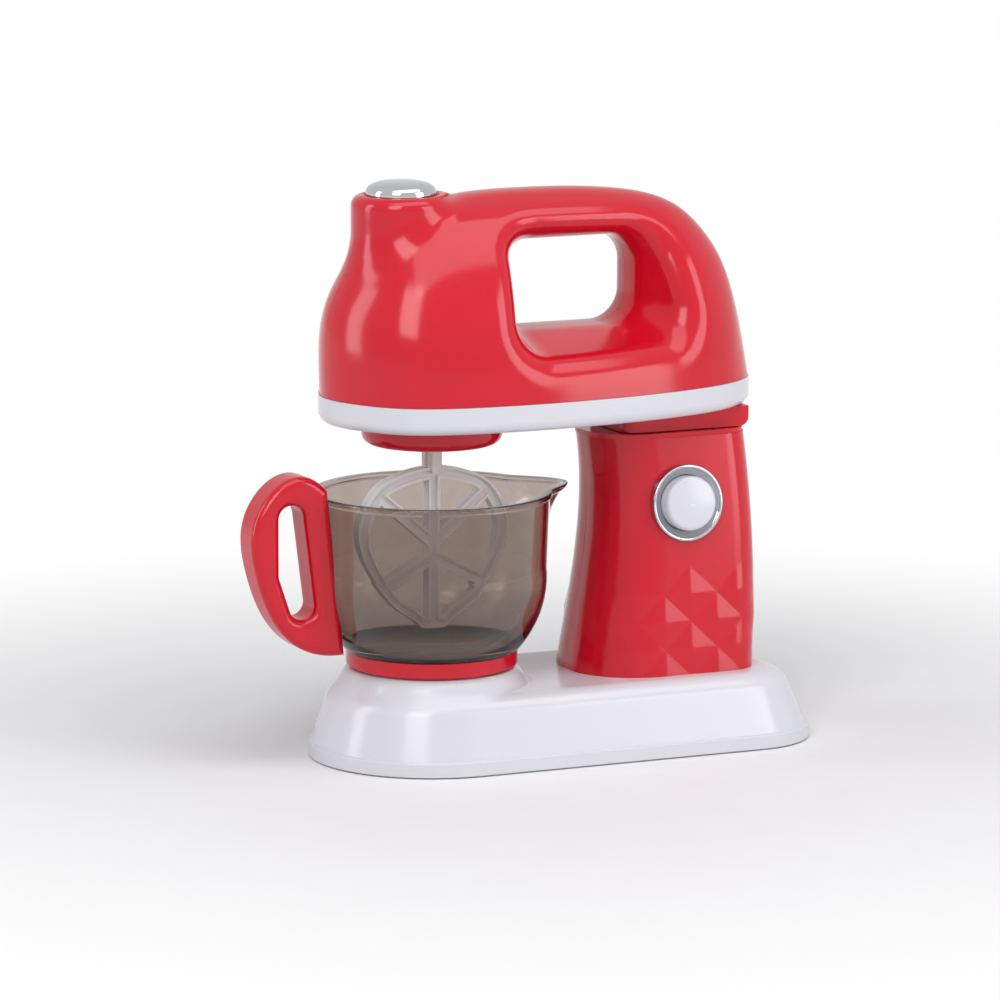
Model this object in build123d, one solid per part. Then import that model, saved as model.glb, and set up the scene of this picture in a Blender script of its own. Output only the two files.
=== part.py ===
from build123d import *
import math
import os

# Toy stand mixer: a tilting head with a handle loop, a faceted column, a flared base and a clear bowl.
# X runs from the bowl end (-X) to the column (+X), Y across and Z up, in millimetres.
# The origin is the middle of the base's underside, and "left" is the -Y side with the push button.

# Fits
joint_gap = 0.3
slip_fit = 0.1
pin_fit = 0.05
overrun = 6.0

# Base casing and bottom plate
base_length = 180.0
base_width = 86.0
base_height = 26.0
base_flare = 7.0
base_tail_slope_share = 1.5
base_tail_radius = 28.0
base_lip_height = 5.5
base_lip_step = 1.0
base_edge_radius = 8.0
base_wall = 2.2
base_lip_lift = 0.4
plate_thickness = 3.4
boss_radius = 3.5
base_boss_margin = 13.0
base_tail_margin = 19.0
base_tail_boss_spread = 44.0

# Bowl seat on the base
seat_height = 5.7
seat_sink = 2.0
seat_foot_radius = 34.6
seat_top_radius = 30.2
seat_well_radius = 26.0
seat_well_depth = 2.7

# Battery box, three AA cells side by side
battery_count = 3
battery_radius = 7.25
battery_length = 49.5
battery_nub_radius = 2.75
battery_nub_length = 1.0
battery_pitch = 15.3
battery_box_x = 38.5
battery_box_wall = 1.6
battery_end_room = 1.2
battery_contact_width = 11.0
battery_contact_thickness = 0.5
door_tongue = 9.0

# Screws: one self-tapping size all over
screw_radius = 1.3
screw_head_radius = 2.6
screw_head_height = 1.8
screw_length = 9.0
screw_clearance = 0.25

# Column
column_height = 85.0
column_foot_width = 54.0
column_top_width = 40.0
column_front_x = 4.5
column_rear_x = 70.1
column_waist = 8.0
column_rear_lean = 2.6
column_front_round_share = 0.9
column_rear_radius = 11.0
column_wall = 2.0
column_level_shares = (0.0, 0.3, 0.72, 1.0)
column_front_shares = (0.0, 0.55, 1.0, 0.75)
column_rear_shares = (0.65, 0.0, 0.2, 1.0)
column_screw_radius = 3.4
column_screw_depth = 8.0
column_screw_shares = ((0.5, 0.08), (0.2, 0.5), (0.6, 0.88))
column_foot_boss_height = 12.0
column_foot_screw_shares = ((0.2, 0.62), (0.82, 0.52))
facet_width = 20.4
facet_height = 19.4
facet_relief = 1.1
facet_sink = 0.06
facet_root = 1.4
facet_top = 38.2
facet_rows = 4
facet_columns = 3
facet_start_x = 20.8

# Column cap, neck and hinge
cap_thickness = 1.6
cap_plug_depth = 3.0
cap_fit = 1.0
hinge_setback = 3.5
hinge_rise = 3.5
hinge_pin_radius = 1.5
hinge_ear_radius = 2.8
hinge_ear_width = 4.5
hinge_ear_spread = 21.0
hinge_pin_length = 31.0
neck_height = 7.4
neck_width = 34.0
neck_front_x = 19.5
neck_corner_radius = 6.0
hinge_room = 0.9
neck_screw_inset = 8.0
neck_screw_spread = 20.0
wire_duct_radius = 4.0

# Push button in the column's left face
power_button_x = 40.3
power_button_height = 60.4
power_button_radius = 9.6
power_button_proud = 6.0
power_button_dome = 0.5
power_button_edge = 1.5
power_flange_radius = 11.4
power_flange_thickness = 1.7
power_stem_radius = 2.5
power_stem_length = 2.0
bezel_radius = 13.5
bezel_height = 2.6
bezel_rim = 1.3
bezel_dish = 0.4
bezel_sleeve_radius = 11.3
bezel_sleeve_depth = 4.0
switch_depth = 14.0
switch_board_thickness = 1.6
switch_board_length = 38.0
switch_board_width = 16.0
switch_size = 6.0
switch_height = 3.4
switch_post_radius = 3.0
switch_post_spread = 30.0
spring_wire_radius = 0.45
power_spring_radius = 8.0
power_spring_turns = 4

# Head housing
head_length = 162.0
head_front_x = -87.0
head_height = 69.0
head_width = 80.0
head_wall = 2.0
head_level_shares = (0.0, 0.23, 0.45, 0.63, 0.78, 0.9, 0.97, 1.0)
head_width_shares = (1.0, 0.975, 0.89, 0.765, 0.61, 0.43, 0.24, 0.11)
head_nose_shares = (0.002, 0.0, 0.013, 0.05, 0.09, 0.145, 0.205, 0.25)
head_tail_shares = (0.012, 0.03, 0.052, 0.083, 0.13, 0.195, 0.293, 0.42)
plan_length_shares = (0.0, 0.032, 0.09, 0.29, 0.52, 0.78, 0.93, 1.0)
plan_width_shares = (0.0, 0.45, 0.76, 1.0, 0.99, 0.8, 0.5, 0.0)
plan_parameter_shares = (0.0, 0.094, 0.173, 0.343, 0.531, 0.747, 0.884, 1.0)
plan_end_share = 4.9

# Handle opening through the head
opening_length = 51.5
opening_height = 30.8
opening_radius = 11.0
opening_x = 0.25
opening_rise = 21.1
opening_core_width = 18.0
opening_flare_front = 6.0
opening_flare_rear = 26.5
opening_flare_top = 21.0
opening_flare_bottom = 10.0
opening_round_share = 0.25

# Head screws, entered from the right-hand side
head_screw_depth = 7.0
head_screw_shares = ((0.06, 0.29), (0.36, 0.895), (0.66, 0.895), (0.8, 0.16), (0.925, 0.16))
tray_screw_shares = ((0.48, 0.78), (0.84, 0.42))
tray_boss_height = 16.0
tray_boss_rib = 1.6
screw_pad_radius = 4.4
screw_pad_height = 1.6

# White tray that closes the head
tray_height = 9.6
tray_edge_radius = 3.6
tray_edge_steps = 4
tray_wall = 2.0
tray_proud = 0.4

# Collar, spindle and bush under the head
collar_radius = 24.5
collar_height = 8.1
collar_edge_radius = 3.5
collar_wall = 2.0
collar_hub_radius = 8.5
spindle_radius = 4.5
spindle_flange_radius = 7.0
spindle_flange_height = 2.4
spindle_top_radius = 2.5
spindle_socket = 4.8
bush_wall = 1.6
bush_flange = 1.2
collar_screw_circle = 19.6

# Gear train
gear_module = 0.8
pinion_teeth = 12
wheel_teeth = 36
gear_backlash = 0.16
gear_addendum_share = 0.75
gear_dedendum_share = 1.2
pressure_angle = 20.0
gear_face = 5.0
gear_level_gap = 2.0
idler_angle = 141.3
motor_angle = -90.0
idler_pin_radius = 1.5
idler_hub_radius = 3.2
gearbox_plate_thickness = 2.2
gearbox_plate_margin = 7.0
gearbox_post_radius = 3.2
gearbox_post_shares = ((0.29, 0.52), (0.29, -0.52), (0.1, -0.3))
motor_radius = 10.0
motor_flat_width = 15.2
motor_length = 25.0
motor_boss_radius = 3.0
motor_boss_height = 1.6
motor_shaft_radius = 1.0
motor_shaft_depth = 8.0
motor_collar_height = 9.0
motor_collar_wall = 1.8
motor_terminal_length = 3.0
motor_terminal_width = 2.4
motor_terminal_thickness = 0.6
motor_terminal_spread = 10.0

# Chrome button on top of the head
boss_x = -58.7
top_boss_radius = 17.1
top_boss_depth = 30.0
top_boss_rise = 0.4
top_boss_edge = 2.5
top_button_radius = 12.2
top_button_proud = 5.2
top_button_rim = 1.2
top_flange_radius = 14.2
top_flange_thickness = 2.0
top_spring_length = 9.0
top_spring_radius = 10.0
top_spring_turns = 4
top_board_radius = 14.6
ledge_width = 5.0

# Bowl
bowl_foot_height = 5.6
bowl_foot_low_radius = 28.8
bowl_foot_top_radius = 30.0
bowl_foot_edge = 1.0
bowl_height = 55.9
bowl_rim_radius = 41.0
bowl_shoulder_radius = 40.1
bowl_shoulder_height = 29.2
bowl_belly_radius = 36.9
bowl_belly_height = 10.4
bowl_floor_radius = 30.0
bowl_wall = 1.8
bowl_bead = 0.9
bowl_bead_height = 2.2
spout_reach = 10.5
spout_angle = 24.0
spout_drop = 17.0
spout_root = 1.0
spout_root_share = 0.33
bowl_peg_radius = 2.2
bowl_peg_length = 4.5
bowl_peg_shares = (0.3, 0.8)

# Bowl handle
handle_reach = 28.0
handle_width = 15.0
handle_rise = 8.5
handle_edge_radius = 3.0
handle_reach_shares = (0.02, 0.5, 0.98, 0.96, 0.58, -0.2)
handle_height_shares = (0.92, 1.0, 0.78, 0.48, 0.14, 0.02)
finger_gap_radius = 4.6
finger_reach_shares = (0.5, 0.5, 0.36)
finger_height_shares = (0.78, 0.48, 0.3)

# Flat beater
beater_width = 56.6
beater_height = 57.4
beater_thickness = 5.0
beater_band = 4.2
beater_rib = 0.9
beater_web_recess = 1.1
beater_drop = 8.5
beater_width_shares = (0.0, 0.48, 0.725, 0.89, 1.0, 0.93, 0.69, 0.455, 0.22, 0.0)
beater_height_shares = (1.0, 0.96, 0.9, 0.8, 0.65, 0.46, 0.26, 0.13, 0.04, 0.0)
beater_upper_arm_shares = (0.86, 0.87, 0.535)
beater_lower_arm_shares = (0.78, 0.27, 0.455)
beater_stem_width = 6.6
beater_stem_rib = 2.4
beater_tang_length = 8.0

# Levels and places worked out from the sizes above
bowl_x = (base_width - base_length) / 2
seat_top_z = base_height + seat_height
seat_well_z = seat_top_z - seat_well_depth
foot_z = seat_top_z + joint_gap
bowl_z = foot_z + bowl_foot_height
rim_z = bowl_z + bowl_height
column_top_z = base_height + column_height
cap_z = column_top_z - cap_thickness
hinge_x = column_rear_x - column_rear_lean - hinge_setback
hinge_z = column_top_z + hinge_rise
tray_z = column_top_z + neck_height
tray_floor_z = tray_z + tray_wall
screw_pad_z = tray_floor_z + screw_pad_height
tray_screw_seat = tray_z + screw_head_height + screw_clearance
head_z = tray_z + tray_height
head_top_z = head_z + head_height
head_rear_x = head_front_x + head_length
opening_z = head_z + opening_rise + opening_height / 2
collar_z = tray_z - collar_height
beater_top_z = collar_z - beater_drop
beater_z = beater_top_z - beater_height
gear_z = tray_floor_z + joint_gap + spindle_flange_height
upper_gear_z = gear_z + gear_face + gear_level_gap
gearbox_plate_z = upper_gear_z + gear_face + gear_level_gap
gear_distance = gear_module * (pinion_teeth + wheel_teeth) / 2
idler_x = bowl_x + gear_distance * math.cos(math.radians(idler_angle))
idler_y = gear_distance * math.sin(math.radians(idler_angle))
motor_x = idler_x + gear_distance * math.cos(math.radians(motor_angle))
motor_y = idler_y + gear_distance * math.sin(math.radians(motor_angle))
motor_z = gearbox_plate_z + gearbox_plate_thickness
top_flange_z = head_top_z - head_wall - joint_gap - top_flange_thickness
top_board_z = top_flange_z - top_spring_length
bottom_up = (Align.CENTER, Align.CENTER, Align.MIN)


def upright(x, y, low, high, radius):
    """Round vertical bar between two heights."""
    return Pos(x, y, low) * Cylinder(radius, high - low, align=bottom_up)


def crossbar(x, z, start, end, radius):
    """Round bar along Y between two places."""
    return Pos(x, start, z) * Rot(-90, 0, 0) * Cylinder(radius, end - start, align=bottom_up)


def block(x0, x1, y0, y1, z0, z1):
    """Rectangular block between two corners."""
    return Pos(x0, y0, z0) * Box(x1 - x0, y1 - y0, z1 - z0, align=(Align.MIN, Align.MIN, Align.MIN))


def turned(*outline):
    """Solid of revolution about Z from a closed (radius, height) outline."""
    return revolve(Plane.XZ * make_face(Polyline(*outline, close=True)), Axis.Z)


def turned_edges(edges):
    """Solid of revolution about Z from edges that close a (radius, height) outline."""
    return revolve(Plane.XZ * make_face(edges), Axis.Z)


def dome_arc(radius, low, high):
    """Spherical cap in (radius, height) from a rim up to its crown on the axis."""
    rise = high - low
    sphere = (radius * radius + rise * rise) / (2 * rise)
    spread = math.degrees(math.asin(radius / sphere))
    return CenterArc((0, high - sphere), sphere, 90 - spread, spread)


def screw():
    """Pan-head screw along Z, the underside of its head at zero and its shank below."""
    head = Cylinder(screw_head_radius, screw_head_height, align=bottom_up)
    shank = Pos(0, 0, -screw_length) * Cylinder(screw_radius, screw_length, align=bottom_up)
    return head + shank


def group(solids):
    """Like pieces kept as separate solids in one node."""
    return Compound(children=list(solids))


def helix_spring(coil_radius, low, high, turns):
    """Compression spring along Z: half turns of helix drawn as pairs of tangent arcs."""
    rise = (high - low) / (2 * turns)
    points = []
    tangents = []
    for step in range(2 * turns + 1):
        angle = math.pi * step
        points.append(Vector(coil_radius * math.cos(angle), coil_radius * math.sin(angle), low + rise * step))
        lead = Vector(-math.sin(angle), math.cos(angle), rise / (math.pi * coil_radius))
        tangents.append(lead.normalized())
    edges = []
    for start, end, lead, tail in zip(points, points[1:], tangents, tangents[1:]):
        span = end - start
        both = lead + tail
        spread = 2 * (1 - lead.dot(tail))
        reach = (math.sqrt(span.dot(both) ** 2 + spread * span.dot(span)) - span.dot(both)) / spread
        first = start + lead * reach
        second = end - tail * reach
        middle = (first + second) * 0.5
        edges.append(Edge.make_tangent_arc(start, lead, middle))
        edges.append(Edge.make_tangent_arc(middle, second - first, end))
    path = Wire(edges)
    print("spring self-gap", round(2 * rise - 2 * spring_wire_radius, 3))
    profile = Plane(points[0], z_dir=tangents[0]) * Circle(spring_wire_radius)
    return sweep(profile, path=path)


def base_outline(inset, z):
    """Plan of the base, drawn in by an inset: round at the bowl end, soft corners at its steeper tail."""
    half = base_width / 2 - inset
    body_length = base_length / 2 - inset * base_tail_slope_share - bowl_x
    body = Pos(bowl_x + body_length / 2, 0) * Rectangle(body_length, 2 * half)
    body = fillet(body.vertices().sort_by(Axis.X)[-2:], base_tail_radius - inset)
    return Pos(0, 0, z) * (body + Pos(bowl_x, 0) * Circle(half))


def base_boss_places():
    """Screw bosses that join the base's casing and bottom plate."""
    front_y = base_width / 2 - base_boss_margin
    rear_x = base_length / 2 - base_tail_margin
    rear_y = base_tail_boss_spread / 2
    return [(bowl_x, front_y), (bowl_x, -front_y), (rear_x, rear_y), (rear_x, -rear_y)]


def column_point(shares):
    """Place on the column's middle plane from shares of its length and height."""
    length_share, height_share = shares
    x = column_front_x + column_waist + length_share * (column_rear_x - column_front_x - column_waist)
    return x, base_height + height_share * column_height


def column_foot_places():
    """Screws that hold the column's feet to the base."""
    places = []
    for length_share, width_share in column_foot_screw_shares:
        x = column_front_x + length_share * (column_rear_x - column_front_x)
        y = width_share * column_foot_width / 2
        places += [(x, y), (x, -y)]
    return places


def make_base_shell():
    lip = extrude(base_outline(0, base_lip_lift), base_lip_height - base_lip_lift)
    low = base_outline(base_lip_step, base_lip_height)
    body = loft([low, base_outline(base_flare, base_height)], ruled=True)
    body = fillet(body.faces().sort_by(Axis.Z)[-1].edges(), base_edge_radius)
    seat_low = base_height - seat_sink
    seat = turned((0, seat_low), (seat_foot_radius, seat_low), (seat_top_radius, seat_top_z), (0, seat_top_z))
    shell = lip + body + Pos(bowl_x, 0, 0) * seat
    roof_z = base_height - base_wall
    shell -= extrude(base_outline(base_wall, 0), base_lip_height)
    low = base_outline(base_lip_step + base_wall, base_lip_height)
    shell -= loft([low, base_outline(base_flare + base_wall, roof_z)], ruled=True)
    shell -= upright(bowl_x, 0, seat_well_z, seat_top_z + overrun, seat_well_radius)
    shell -= upright(bowl_x, 0, roof_z - overrun, seat_well_z - base_wall, seat_well_radius)
    for x, y in base_boss_places():
        shell += upright(x, y, plate_thickness, roof_z + base_wall / 2, boss_radius)
        shell -= upright(x, y, plate_thickness - overrun, plate_thickness + screw_length, screw_radius)
    for x, y in column_foot_places():
        shell -= upright(x, y, roof_z - overrun, base_height + overrun, screw_radius + screw_clearance)
    duct_x = hinge_x - wire_duct_radius
    return shell - upright(duct_x, 0, roof_z - overrun, base_height + overrun, wire_duct_radius)


battery_room_length = battery_length + battery_nub_length + 2 * battery_end_room
battery_room_width = battery_count * battery_pitch
battery_z = plate_thickness + joint_gap + battery_radius
battery_roof_z = battery_z + battery_radius + joint_gap
door_end_x = battery_box_x - battery_room_length / 2 - battery_box_wall - door_tongue
door_screw_x = door_end_x + door_tongue / 2
plate_screw_seat = screw_head_height + screw_clearance


def make_base_plate():
    x0 = battery_box_x - battery_room_length / 2
    x1 = battery_box_x + battery_room_length / 2
    half = battery_room_width / 2
    plate = extrude(base_outline(base_wall + slip_fit, 0), plate_thickness)
    grown = battery_box_wall
    box_top_z = battery_roof_z + battery_box_wall
    plate += block(x0 - grown, x1 + grown, -half - grown, half + grown, 0, box_top_z)
    plate += upright(door_screw_x, 0, 0, box_top_z, boss_radius)
    plate += block(door_screw_x, x0, -battery_box_wall / 2, battery_box_wall / 2, 0, box_top_z)
    plate -= block(x0, x1, -half, half, -overrun, battery_roof_z)
    plate -= block(door_end_x, x0 + overrun, -half, half, -overrun, plate_thickness)
    plate -= upright(door_screw_x, 0, -overrun, plate_thickness + screw_length, screw_radius)
    for x, y in base_boss_places():
        plate -= upright(x, y, -overrun, plate_thickness + overrun, screw_radius + screw_clearance)
        plate -= upright(x, y, -overrun, plate_screw_seat, screw_head_radius + screw_clearance)
    return plate


def make_battery_door():
    x1 = battery_box_x + battery_room_length / 2 - slip_fit
    half = battery_room_width / 2 - slip_fit
    door = block(door_end_x + slip_fit, x1, -half, half, 0, plate_thickness)
    door -= upright(door_screw_x, 0, -overrun, overrun, screw_radius + screw_clearance)
    return door - upright(door_screw_x, 0, -overrun, plate_screw_seat, screw_head_radius + screw_clearance)


def from_below(x, y):
    """Screw driven upwards, its head sunk in the plate's counterbore."""
    return Pos(x, y, plate_screw_seat) * Rot(180, 0, 0) * screw()


def make_base_screws():
    return group(from_below(x, y) for x, y in base_boss_places())


def battery_rows():
    """Middle lines of the cells, side by side across the base."""
    return [(row - (battery_count - 1) / 2) * battery_pitch for row in range(battery_count)]


def make_battery_cells():
    x0 = battery_box_x - battery_room_length / 2 + battery_end_room
    cells = []
    for row, y in enumerate(battery_rows()):
        can = Cylinder(battery_radius, battery_length, align=bottom_up)
        nub = Pos(0, 0, battery_length) * Cylinder(battery_nub_radius, battery_nub_length, align=bottom_up)
        cell = Rot(0, 90, 0) * (can + nub)
        turn = 180 * (row % 2)
        x = x0 + (battery_length + battery_nub_length) * (row % 2)
        cells.append(Pos(x, y, battery_z) * Rot(0, 0, turn) * cell)
    return group(cells)


def make_battery_contacts():
    half_width = battery_contact_width / 2
    contacts = []
    for y in battery_rows():
        for side in (-1, 1):
            x = battery_box_x + side * (battery_room_length - battery_contact_thickness) / 2
            thin = battery_contact_thickness / 2
            plate = block(x - thin, x + thin, y - half_width, y + half_width, plate_thickness, battery_roof_z)
            contacts.append(plate)
    return group(contacts)


def column_section(level, inset):
    """Left half of the column's plan at one level: round at the bowl's end, a soft corner at the tail."""
    share = column_level_shares[level]
    front = column_front_x + column_waist * column_front_shares[level] + inset
    rear = column_rear_x - column_rear_lean * column_rear_shares[level] - inset
    half = (column_foot_width + (column_top_width - column_foot_width) * share) / 2 - inset
    face = Pos((front + rear) / 2, -half / 2) * Rectangle(rear - front, half)
    front_corner = face.vertices().group_by(Axis.Y)[0].sort_by(Axis.X)[0]
    face = fillet(front_corner, column_front_round_share * half)
    rear_corner = face.vertices().group_by(Axis.Y)[0].sort_by(Axis.X)[-1]
    face = fillet(rear_corner, column_rear_radius - inset)
    return Pos(0, 0, base_height + share * column_height) * face


def column_half(inset):
    """Left half of the column as a solid, drawn in by an inset."""
    levels = range(len(column_level_shares))
    return loft([column_section(level, inset) for level in levels])


column_lean = math.atan2((column_foot_width - column_top_width) / 2, column_height)
column_normal = (0, -math.cos(column_lean), math.sin(column_lean))


def level_share(shares, height_share):
    """Share at a height between two of the column's levels, held at the foot's below it."""
    height_share = max(height_share, column_level_shares[0])
    levels = list(zip(column_level_shares, shares))
    for (low, first), (high, second) in zip(levels, levels[1:]):
        if low <= height_share <= high:
            return first + (second - first) * (height_share - low) / (high - low)


def side_spot(along, height, rise):
    """Place on the column's left side, measured along its plan and up, lifted off it by a rise."""
    share = height / column_height
    half = (column_foot_width + (column_top_width - column_foot_width) * share) / 2
    front_radius = column_front_round_share * half
    front_flat = column_front_x + column_waist * level_share(column_front_shares, share) + front_radius
    rear_flat = column_rear_x - column_rear_lean * level_share(column_rear_shares, share) - column_rear_radius
    flat = min(max(along, front_flat), rear_flat)
    radius = column_rear_radius if along > rear_flat else front_radius
    turn = (along - flat) / radius
    x = flat + (radius + rise) * math.sin(turn)
    y = radius - half - (radius + rise) * math.cos(turn)
    return Vector(x, y, base_height + height)


button_plane = Plane(side_spot(power_button_x, power_button_height, 0), x_dir=(1, 0, 0), z_dir=column_normal)


def facet_gem(along, height):
    """One diamond pyramid: its corners lie in the wall and its point stands proud of it."""
    half_x = facet_width / 2 - slip_fit
    half_z = facet_height / 2 - slip_fit
    ring = [
        side_spot(along - half_x, height, -facet_sink),
        side_spot(along, height - half_z, -facet_sink),
        side_spot(along + half_x, height, -facet_sink),
        side_spot(along, height + half_z, -facet_sink),
    ]
    faces = []
    for tip in (side_spot(along, height, facet_relief), side_spot(along, height, -facet_root)):
        for here, there in zip(ring, ring[1:] + ring[:1]):
            faces.append(make_face(Polyline(here, there, tip, close=True)))
    return Solid(Shell(faces))


def facet_gems():
    """Offset rows of diamonds over the lower half of the column's side and round its corners."""
    gems = []
    for row in range(facet_rows):
        height = facet_top - (row + 1) * facet_height / 2
        odd = row % 2
        for place in range(facet_columns + odd):
            gems.append(facet_gem(facet_start_x + (place - odd / 2) * facet_width, height))
    return gems


def make_column_shells():
    outer = column_half(0)
    side_y = -column_foot_width / 2
    floor = block(column_front_x, column_rear_x, side_y, 0, base_height, base_height + column_wall)
    half = outer - column_half(column_wall) + (outer & floor)
    for gem in facet_gems():
        half += gem
    half -= block(-base_length, base_length, -base_width, 0, 0, base_height)
    for x, y in column_foot_places():
        if y < 0:
            half += upright(x, y, base_height, base_height + column_foot_boss_height, boss_radius)
            half -= upright(x, y, base_height - overrun, base_height + screw_length, screw_radius)
    duct_x = hinge_x - wire_duct_radius
    half -= upright(duct_x, 0, base_height - overrun, base_height + overrun, wire_duct_radius)
    half -= block(0, base_length, -base_width, 0, cap_z, column_top_z + overrun)
    right = mirror(half, about=Plane.XZ)
    left = half
    for shares in column_screw_shares:
        x, z = column_point(shares)
        post = crossbar(x, z, -column_foot_width, 0, column_screw_radius)
        left += post & outer
        left -= crossbar(x, z, -column_screw_depth, overrun, screw_radius)
        right += crossbar(x, z, 0, column_foot_width, column_screw_radius) & mirror(outer, about=Plane.XZ)
        right -= crossbar(x, z, -overrun, column_foot_width, screw_radius + screw_clearance)
        right -= crossbar(x, z, column_screw_depth, column_foot_width, screw_head_radius + screw_clearance)
    left -= button_plane * Pos(0, 0, -column_wall - overrun) * Cylinder(
        bezel_sleeve_radius + slip_fit, column_wall + 2 * overrun, align=bottom_up
    )
    for side in (-1, 1):
        reach = switch_depth - column_wall / 2
        post = Cylinder(switch_post_radius, reach, align=bottom_up)
        left += button_plane * Pos(side * switch_post_spread / 2, 0, -switch_depth) * post
    return left, right


def make_column_cap():
    """Lid on top of the column, with a plug inside it and two ears for the hinge pin."""
    top = len(column_level_shares) - 1
    half = extrude(column_section(top, 0), -cap_thickness)
    half += extrude(column_section(top, column_wall + cap_fit), -cap_thickness - cap_plug_depth)
    cap = half + mirror(half, about=Plane.XZ)
    for side in (-1, 1):
        y0 = side * hinge_ear_spread / 2 - hinge_ear_width / 2
        ear = crossbar(hinge_x, hinge_z, y0, y0 + hinge_ear_width, hinge_ear_radius)
        r = hinge_ear_radius
        ear += block(hinge_x - r, hinge_x + r, y0, y0 + hinge_ear_width, cap_z, hinge_z)
        cap += ear
    cap -= crossbar(hinge_x, hinge_z, -neck_width, neck_width, hinge_pin_radius)
    duct_x = (neck_front_x + hinge_x) / 2
    plug_z = cap_z - cap_plug_depth
    return cap - upright(duct_x, 0, plug_z - overrun, column_top_z + overrun, wire_duct_radius)


def make_hinge_pin():
    return crossbar(hinge_x, hinge_z, -hinge_pin_length / 2, hinge_pin_length / 2, hinge_pin_radius)


def neck_screw_places():
    """Screws from the tray down into the neck."""
    x0 = neck_front_x + neck_screw_inset
    x1 = hinge_x - hinge_ear_radius - neck_screw_inset
    y = neck_screw_spread / 2
    return [(x0, y), (x0, -y), (x1, y), (x1, -y)]


def make_head_neck():
    """Block under the tray that carries the head on the hinge, rounded where it swings past the cap."""
    low = column_top_z + joint_gap
    barrel = hinge_rise - joint_gap
    rear = hinge_x + barrel
    corner = barrel * math.sqrt(0.5)
    edges = [
        Line((neck_front_x, low), (hinge_x, low)),
        ThreePointArc((hinge_x, low), (hinge_x + corner, hinge_z - corner), (rear, hinge_z)),
        Polyline((rear, hinge_z), (rear, tray_z), (neck_front_x, tray_z), (neck_front_x, low)),
    ]
    neck = extrude(Plane.XZ * make_face(edges), neck_width / 2, both=True)
    front = neck.edges().filter_by(Axis.Z).group_by(Axis.X)[0]
    neck = fillet(front, neck_corner_radius)
    for side in (-1, 1):
        y0 = side * hinge_ear_spread / 2 - hinge_ear_width / 2 - joint_gap
        y1 = y0 + hinge_ear_width + 2 * joint_gap
        front_x = hinge_x - hinge_ear_radius - hinge_room
        neck -= block(front_x, rear + overrun, y0, y1, low - overrun, hinge_z + barrel)
    neck -= crossbar(hinge_x, hinge_z, -hinge_pin_length / 2 - slip_fit, hinge_pin_length / 2 + slip_fit,
                     hinge_pin_radius + pin_fit)
    neck -= upright((neck_front_x + hinge_x) / 2, 0, low - overrun, tray_z + overrun, wire_duct_radius)
    for x, y in neck_screw_places():
        neck -= upright(x, y, screw_pad_z - screw_length, tray_z + overrun, screw_radius)
    return neck


def plan_edge(front, rear, half):
    """Left edge of the head's plan, egg-shaped from nose to tail."""
    points = []
    for length_share, width_share in zip(plan_length_shares, plan_width_shares):
        points.append(Vector(front + length_share * (rear - front), -width_share * half))
    lead = plan_end_share * half
    ends = [Vector(0, -lead), Vector(0, lead)]
    return Edge.make_spline(points, tangents=ends, parameters=plan_parameter_shares, scale=False)


def head_section(level, inset):
    """Left half of the head's plan at one level of its height."""
    front = head_front_x + head_nose_shares[level] * head_length + inset
    rear = head_rear_x - head_tail_shares[level] * head_length - inset
    half = head_width_shares[level] * head_width / 2 - inset
    face = make_face([plan_edge(front, rear, half), Line((rear, 0), (front, 0))])
    return Pos(0, 0, head_z + head_level_shares[level] * (head_height - inset)) * face


def head_half(inset):
    """Left half of the head's body as a solid, drawn in by an inset."""
    levels = range(len(head_level_shares))
    return loft([head_section(level, inset) for level in levels])


def opening_section(y, grow_front, grow_rear, grow_top, grow_bottom):
    """Rounded outline of the handle opening, grown on its four sides, at one place across the head."""
    length = opening_length + grow_front + grow_rear
    height = opening_height + grow_top + grow_bottom
    x = opening_x + (grow_rear - grow_front) / 2
    z = opening_z + (grow_top - grow_bottom) / 2
    radius = opening_radius + opening_round_share * (grow_front + grow_bottom)
    return Plane((x, y, z), x_dir=(1, 0, 0), z_dir=(0, -1, 0)) * RectangleRounded(length, height, radius)


def opening_tool(grow):
    """Left half of the handle opening: a straight core that flares towards the side."""
    core_y = -opening_core_width / 2
    side_y = -head_width / 2 - overrun
    core = extrude(opening_section(0, grow, grow, grow, grow), -core_y)
    mouth = opening_section(
        side_y,
        opening_flare_front + grow,
        opening_flare_rear + grow,
        opening_flare_top + grow,
        opening_flare_bottom + grow,
    )
    return core + loft([opening_section(core_y, grow, grow, grow, grow), mouth], ruled=True)


def side_point(length_share, height_share):
    """Place on the head's middle plane from shares of its length and height."""
    return head_front_x + length_share * head_length, head_z + height_share * head_height


def tray_screw_places():
    """Screws from the tray up into the head shells, in pairs left and right."""
    places = []
    for length_share, width_share in tray_screw_shares:
        x = head_front_x + length_share * head_length
        y = width_share * head_width / 2
        places += [(x, -y), (x, y)]
    return places


def half_only(solid):
    """The part of a solid on the left of the middle plane."""
    reach = head_length
    return solid & block(-reach, reach, -reach, 0, 0, 2 * reach)


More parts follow.
